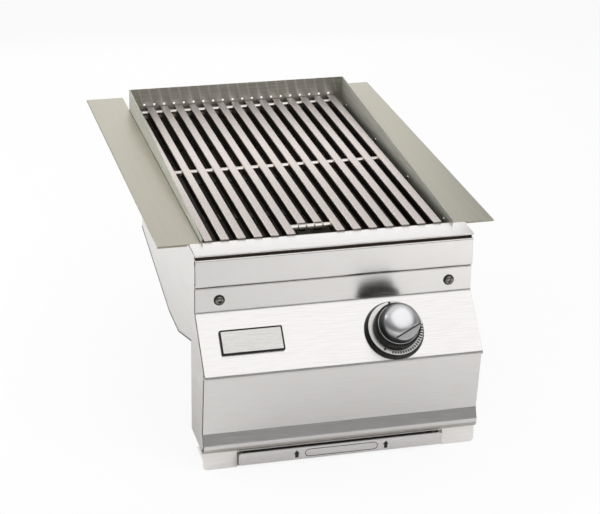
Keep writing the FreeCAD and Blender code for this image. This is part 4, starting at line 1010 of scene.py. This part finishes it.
class STATION_OT_fasteners(bpy.types.Operator):
    """Panel screws with washers, and the liner's rivets"""

    bl_idname = "station.fasteners"
    bl_label = "Fasteners"

    def screw(self):
        """Button head: its height falls off from the middle along an ellipse, a hexagon socket is sunk by a
        smooth step at the hexagon's distance, and a straight shank runs below."""
        f = sizes("fasteners")
        share, slope = np.linspace(0, 1, 70), 0.3 * MM
        crown = np.stack([f.head_radius * share, f.head_height * np.sqrt(1 - 0.8 * share ** 2)], 1)
        tail = np.array([[f.head_radius, 0], [f.shank_radius, 0], [f.shank_radius, -f.shank_length],
                         [0, -f.shank_length]])
        vertices, faces = turned(np.concatenate([crown, tail]), 96)
        angle = np.arctan2(vertices[:, 1], vertices[:, 0])
        along = np.hypot(vertices[:, 0], vertices[:, 1]) * np.cos(in_sixth(angle))
        step = smooth((f.socket + slope / 2 - along) / slope)
        vertices[:, 2] -= np.where(vertices[:, 2] > 0.4 * f.head_height, step * f.socket_depth, 0)
        return vertices, faces

    def washer(self):
        """Flat ring with rounded edges."""
        f = sizes("fasteners")
        middle = (f.washer_bore + f.washer_radius) / 2
        corners = [(middle, 0), (f.washer_radius, 0), (f.washer_radius, f.washer_thick),
                   (f.washer_bore, f.washer_thick), (f.washer_bore, 0), (middle, 0)]
        return turned(rounded_path(corners, [0.1 * MM, 0.4 * MM, 0.2 * MM, 0.1 * MM], 4)[:-1], 64)

    def rivet(self):
        """Half of an ellipsoid."""
        f = sizes("fasteners")
        angles = np.linspace(0, math.pi / 2, 8)
        cap = np.stack([f.rivet_radius * np.sin(angles), f.rivet_height * np.cos(angles)], 1)
        return turned(np.concatenate([cap, [(0, 0)]]), 32)

    def execute(self, context):
        h, f = sizes("housing"), sizes("fasteners")
        face = h.recess - h.ledge_reach
        z = 2 * h.gauge - h.screw_drop
        screws, washers = [], []
        for x in (-h.screw_x, h.screw_x):
            screws.append(carried(self.screw(), (x, face - f.washer_thick, z), *FRONT_AXES))
            washers.append(carried(self.washer(), (x, face, z), *FRONT_AXES))
        piece("screws", joined(screws), MATERIALS["screw"], "station", ["panel_screws"])
        piece("washers", joined(washers), MATERIALS["washer"], "station", ["screw_washers"])
        low, high = (np.array(corner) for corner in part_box("wall_rivets"))
        z = (low[2] + high[2]) / 2
        rivets = []
        for side, wall in ((1, low[0]), (-1, high[0])):
            for y in np.linspace(low[1] + f.rivet_radius, high[1] - f.rivet_radius, f.rivet_count):
                rivets.append(carried(self.rivet(), (wall, y, z), (0, 1, 0), (0, 0, 1), (side, 0, 0)))
        piece("rivets", joined(rivets), MATERIALS["bar"], "station", ["wall_rivets"])
        return {"FINISHED"}


class STATION_OT_nameplate(bpy.types.Operator):
    """Bare nameplate: a grained field inside a raised black rim"""

    bl_idname = "station.nameplate"
    bl_label = "Nameplate"

    def execute(self, context):
        p = sizes("nameplate")
        top, down, normal = face_axes()
        middle = top + down * p.place - np.array([p.place_x, 0, 0])
        place = (middle, (1, 0, 0), -down / np.linalg.norm(down), normal)
        least_corner, overlap = 0.3 * MM, 0.3 * MM

        def level(inset, lift):
            corner = max(p.corner - inset, least_corner)
            return lifted(rounded_rect(p.width - 2 * inset, p.height - 2 * inset, corner), lift)

        field = loft([level(p.rim - overlap, 0), level(p.rim - overlap, p.field_rise)])
        piece("nameplate_field", carried(field, *place), MATERIALS["dial"], "station",
              ["nameplate"])
        # Rounding of the rim's two edges: inset, and drop below its top
        rounding = np.array([(0, 0.5), (0.15, 0.2), (0.5, 0)]) * MM
        outer = [level(inset, p.rise - drop) for inset, drop in rounding]
        inner = [level(p.rim - inset, p.rise - drop) for inset, drop in rounding[::-1]]
        ridge = loft([level(0, 0), *outer, *inner, level(p.rim, 0)], "loop")
        piece("nameplate_rim", carried(ridge, *place), MATERIALS["plastic"], "station")
        return {"FINISHED"}


class STATION_OT_tray(bpy.types.Operator):
    """Front of the instruction tray with its pull marks"""

    bl_idname = "station.tray"
    bl_label = "Tray"

    def execute(self, context):
        t = sizes("tray")
        low, high = (np.array(corner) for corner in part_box("tray_front"))
        width, depth, height = high - low
        middle = (low + high) / 2
        place = ((middle[0], high[1], middle[2]), *FRONT_AXES)
        back, back_edge = depth - t.sheet, 0.3 * MM

        def level(inset, lift):
            return lifted(rounded_rect(width - 2 * inset, height - 2 * inset, t.corner - inset, 8), lift)

        # Rounding of the front's edge: inset, and drop below its face
        rounding = np.array([(0, 0.8), (0.25, 0.2), (0.8, 0)]) * MM
        front = loft([level(back_edge, back), level(0, back + back_edge),
                      *(level(inset, depth - drop) for inset, drop in rounding)])
        card_low, card_high = (np.array(corner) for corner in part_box("tray_plate"))
        web = rounded_rect(card_high[0] - card_low[0], card_high[2] - card_low[2], 0.3 * MM, 2)
        web = web + (0, (card_low[2] + card_high[2]) / 2 - middle[2])
        web = loft([lifted(web, 0), lifted(web, back)])
        piece("tray_face", carried(joined([front, web]), *place), MATERIALS["tray"], "tray",
              ["tray_front"])
        # Arrow: a shaft with a broad head
        arrow = np.array([(-2, -4.6), (2, -4.6), (2, 0.2), (3.4, 0.2), (0, 4.6), (-3.4, 0.2), (-2, 0.2)]) * MM
        shapes = []
        for x in (-t.arrow_place, t.arrow_place):
            shapes.append(loft([lifted(arrow + (x, 0), depth), lifted(arrow + (x, 0), depth + INK)]))

        def pill(inset, lift):
            wide, tall = t.field_width - 2 * inset, t.field_height - 2 * inset
            return lifted(rounded_rect(wide, tall, tall / 2, 8), depth + lift)

        shapes.append(loft([pill(0, 0), pill(0, INK), pill(t.line, INK), pill(t.line, 0)], "loop"))
        piece("tray_marks", carried(joined(shapes), *place), MATERIALS["ink_and_shade"], "tray")
        return {"FINISHED"}


class STATION_OT_gas_inlet(bpy.types.Operator):
    """Flare fitting with its hexagon collar and thread"""

    bl_idname = "station.gas_inlet"
    bl_label = "Gas inlet"

    def execute(self, context):
        low, high = (np.array(corner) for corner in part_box("inlet_fitting"))
        middle = (low + high) / 2
        corner, end = (high[0] - low[0]) / 2, high[1] - low[1]
        collar, chamfer, side, end_face = 8 * MM, 0.9 * MM, 0.9 * corner, 0.92 * corner
        radius, bore = 7.9375 * MM, 4.5 * MM
        # Hexagon: distance to the sides over the cosine of the angle within a sixth, cut by the round chamfer
        angles = np.linspace(0, 2 * math.pi, 96, endpoint=False)
        hexagon = side / np.cos(in_sixth(angles))
        rings = []
        for reach, y in ((bore, 0), (end_face, 0), (corner, chamfer), (corner, collar - chamfer),
                         (end_face, collar), (bore, collar)):
            r = np.minimum(hexagon, reach)
            rings.append(lifted(np.stack([r * np.cos(angles), r * np.sin(angles)], 1), y))
        nut = loft(rings, "loop")
        # Thread: crests and roots follow a cosine along the length, 18 to the inch
        pitch, thread_depth, thread_end = 25.4 * MM / 18, 0.45 * MM, end - 3 * MM
        along = np.linspace(collar, thread_end, 90)
        crest = radius - thread_depth * (0.5 + 0.5 * np.cos(2 * math.pi * (along - collar) / pitch))
        thread = np.stack([crest, along], 1)
        tip = np.array([[radius - 1.2 * MM, end - 2.6 * MM], [bore + 1.1 * MM, end], [bore, end],
                        [bore, collar]])
        nose = turned(np.concatenate([thread, tip]), 64)
        place = ((middle[0], low[1], middle[2]), (1, 0, 0), (0, 0, -1), (0, 1, 0))
        piece("flare_inlet", carried(joined([nut, nose]), *place), MATERIALS["brass"], "station",
              ["inlet_fitting"])
        return {"FINISHED"}


class STATION_OT_stage(bpy.types.Operator):
    """Floor, studio light and camera"""

    bl_idname = "station.stage"
    bl_label = "Stage"

    # Each lamp: its place, aim and size in metres, its power in watts, and whether metal mirrors it
    LAMPS = {
        "softbox_top": ((0.54, -1.07, 1.79), (0, -0.06, -0.09), 2.6, 15, True),
        "softbox_left": ((-0.95, 0.6, 0.35), (-0.2, 0.4, -0.15), 0.8, 7, True),
        "softbox_right": ((0.95, -1.0, 0.35), (0.3, -0.7, -0.24), 0.6, 9.8, False),
        "softbox_back": ((0.16, 1.45, 0.34), (0, 0.3, 0), 1.0, 2.9, True),
    }
    # Camera, fitted to the photograph: lengths in its pixels, turns in degrees, place in millimetres
    PICTURE_WIDTH, FOCAL_LENGTH = 600, 1945
    YAW, PITCH, ROLL = 14.58, 22.88, -0.9
    CAMERA_PLACE = (-536.6, -1936, 820.3)

    def execute(self, context):
        scene = context.scene
        scene.view_settings.view_transform = "Standard"
        self.floor()
        self.world(scene)
        for name, settings in self.LAMPS.items():
            self.lamp(name, *settings)
        self.camera(scene)
        return {"FINISHED"}

    def floor(self):
        """Wide plane under the part: white to the eye, with part of its light left to shadow, and plain paper
        in the dark under the control housing."""
        h = sizes("housing")
        z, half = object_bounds()[0][2] - 0.2 * MM, 6.0
        dark_inset, white_inset, white_share = 8 * MM, 4 * MM, 0.9
        mesh = bpy.data.meshes.new("floor")
        corners = [(-half, -half, z), (half, -half, z), (half, half, z), (-half, half, z)]
        mesh.from_pydata(corners, [], [(0, 1, 2, 3)])
        floor = bpy.data.objects.new("floor", mesh)
        bpy.context.collection.objects.link(floor)
        material = bpy.data.materials.new("paper_floor_white")
        material.use_nodes = True
        tree = material.node_tree
        tree.nodes.clear()
        path = add(tree, "ShaderNodeLightPath")
        paper = add(tree, "ShaderNodeBsdfDiffuse", {"Color": linear("#e8e8e7")})
        glow = add(tree, "ShaderNodeEmission", {"Color": (1, 1, 1, 1), "Strength": 1.0})
        place = add(tree, "ShaderNodeTexCoord").outputs["Object"]
        spot = add(tree, "ShaderNodeSeparateXYZ", {"Vector": place})
        deep = (h.foot_reach - h.cap_back) / 2
        outside = []
        for axis, middle, half_room in (("X", 0, h.panel_width / 2), ("Y", -h.cap_back - deep, deep)):
            aside = add(tree, "ShaderNodeMath", {0: spot.outputs[axis], 1: middle}, operation="SUBTRACT")
            away = add(tree, "ShaderNodeMath", {0: aside.outputs["Value"]}, operation="ABSOLUTE")
            outside.append(add(tree, "ShaderNodeMapRange", {
                "Value": away.outputs["Value"], "From Min": half_room - dark_inset,
                "From Max": half_room - white_inset}))
        free = add(tree, "ShaderNodeMath", {0: outside[0].outputs["Result"], 1: outside[1].outputs["Result"]},
                   operation="MAXIMUM")
        share = add(tree, "ShaderNodeMath", {0: free.outputs["Value"], 1: white_share}, operation="MULTIPLY")
        seen = add(tree, "ShaderNodeMath", {0: path.outputs["Is Camera Ray"], 1: share.outputs["Value"]},
                   operation="MULTIPLY")
        both = add(tree, "ShaderNodeMixShader", {"Fac": seen.outputs["Value"], 1: paper.outputs["BSDF"],
                                                 2: glow.outputs["Emission"]})
        add(tree, "ShaderNodeOutputMaterial", {"Surface": both.outputs["Shader"]})
        mesh.materials.append(material)
        floor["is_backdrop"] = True

    def world(self, scene):
        """White to the camera; to the part, a room that is bright overhead and dim at eye level in front."""
        world = bpy.data.worlds.new("studio")
        scene.world = world
        world.use_nodes = True
        tree = world.node_tree
        tree.nodes.clear()
        ray = add(tree, "ShaderNodeTexCoord").outputs["Generated"]
        parts = add(tree, "ShaderNodeSeparateXYZ", {"Vector": ray})
        height = add(tree, "ShaderNodeMapRange", {"Value": parts.outputs["Z"], "From Min": 0.35,
                                                  "From Max": 0.85, "To Min": 0.18, "To Max": 0.6},
                     interpolation_type="SMOOTHSTEP")
        back = add(tree, "ShaderNodeMapRange", {"Value": parts.outputs["Y"], "From Min": -0.3,
                                                "From Max": 0.5, "To Min": 0.0, "To Max": 0.3},
                   interpolation_type="SMOOTHSTEP")
        level = add(tree, "ShaderNodeMath", {0: height.outputs["Result"], 1: back.outputs["Result"]})
        room = add(tree, "ShaderNodeBackground", {"Color": (1, 1, 1, 1), "Strength": level.outputs["Value"]})
        white = add(tree, "ShaderNodeBackground", {"Color": (1, 1, 1, 1), "Strength": 1.0})
        path = add(tree, "ShaderNodeLightPath")
        both = add(tree, "ShaderNodeMixShader", {"Fac": path.outputs["Is Camera Ray"],
                                                 1: room.outputs["Background"],
                                                 2: white.outputs["Background"]})
        add(tree, "ShaderNodeOutputWorld", {"Surface": both.outputs["Shader"]})

    def lamp(self, name, place, aim, size, power, mirrored):
        """Square soft lamp that looks at a point."""
        light = bpy.data.lights.new(name, "AREA")
        light.size = size
        light.energy = power
        lamp = bpy.data.objects.new(name, light)
        lamp.visible_glossy = mirrored
        bpy.context.collection.objects.link(lamp)
        place, aim = np.array(place), np.array(aim)
        away = (place - aim) / np.linalg.norm(place - aim)
        right = np.cross((0, 0, 1), away)
        right /= np.linalg.norm(right)
        self.settle(lamp, right, np.cross(away, right), away, place)

    def settle(self, thing, right, up, away, place):
        """Place an object by its three axes and its origin."""
        matrix = np.eye(4)
        matrix[:3] = np.column_stack([right, up, away, place])
        thing.matrix_world = Matrix(matrix.tolist())

    def camera(self, scene):
        """Camera at the photograph's place: turned from straight behind by yaw, dipped by pitch, with a
        slight roll."""
        data = bpy.data.cameras.new("camera")
        data.sensor_fit = "HORIZONTAL"
        data.sensor_width = 36.0
        data.lens = self.FOCAL_LENGTH / self.PICTURE_WIDTH * data.sensor_width
        data.clip_end = 50
        yaw, pitch, roll = np.radians((self.YAW, self.PITCH, self.ROLL))
        level = np.array([math.cos(yaw), -math.sin(yaw), 0])
        ahead = np.array([math.sin(yaw) * math.cos(pitch), math.cos(yaw) * math.cos(pitch), -math.sin(pitch)])
        dip = np.cross(ahead, level)
        right = math.cos(roll) * level + math.sin(roll) * dip
        down = math.cos(roll) * dip - math.sin(roll) * level
        camera = bpy.data.objects.new("camera", data)
        bpy.context.collection.objects.link(camera)
        self.settle(camera, right, -down, -ahead, np.array(self.CAMERA_PLACE) * MM)
        scene.camera = camera


class STATION_PT_panel(bpy.types.Panel):
    """Lists the steps that dress the station"""

    bl_label = "Searing station"
    bl_idname = "STATION_PT_panel"
    bl_space_type = "VIEW_3D"
    bl_region_type = "UI"
    bl_category = "Station"

    def draw(self, context):
        for step in STEPS:
            self.layout.operator(step.bl_idname)
        for group in GROUPS:
            box = self.layout.box()
            box.label(text=group)
            for name in GROUPS[group].__annotations__:
                box.prop(sizes(group), name)


GROUPS = {"housing": HousingSizes, "wings": WingSizes, "grate": GrateSizes, "knob": KnobSizes,
          "fasteners": FastenerSizes, "nameplate": PlateSizes, "tray": TraySizes, "colours": FinishColours}
STEPS = (STATION_OT_finishes, STATION_OT_front, STATION_OT_sides, STATION_OT_wings, STATION_OT_grate,
         STATION_OT_knob, STATION_OT_fasteners, STATION_OT_nameplate, STATION_OT_tray, STATION_OT_gas_inlet,
         STATION_OT_stage)


def register():
    """Register the settings, the steps and the panel."""
    for name, group in GROUPS.items():
        bpy.utils.register_class(group)
        setattr(bpy.types.Scene, "station_" + name, bpy.props.PointerProperty(type=group))
    for step in STEPS:
        bpy.utils.register_class(step)
    bpy.utils.register_class(STATION_PT_panel)


def unregister():
    """Take them away again."""
    bpy.utils.unregister_class(STATION_PT_panel)
    for step in reversed(STEPS):
        bpy.utils.unregister_class(step)
    for name, group in GROUPS.items():
        delattr(bpy.types.Scene, "station_" + name)
        bpy.utils.unregister_class(group)


def main():
    """Dress the station step by step."""
    register()
    for step in STEPS:
        space, name = step.bl_idname.split(".")
        getattr(getattr(bpy.ops, space), name)()


if __name__ == "__main__":
    main()
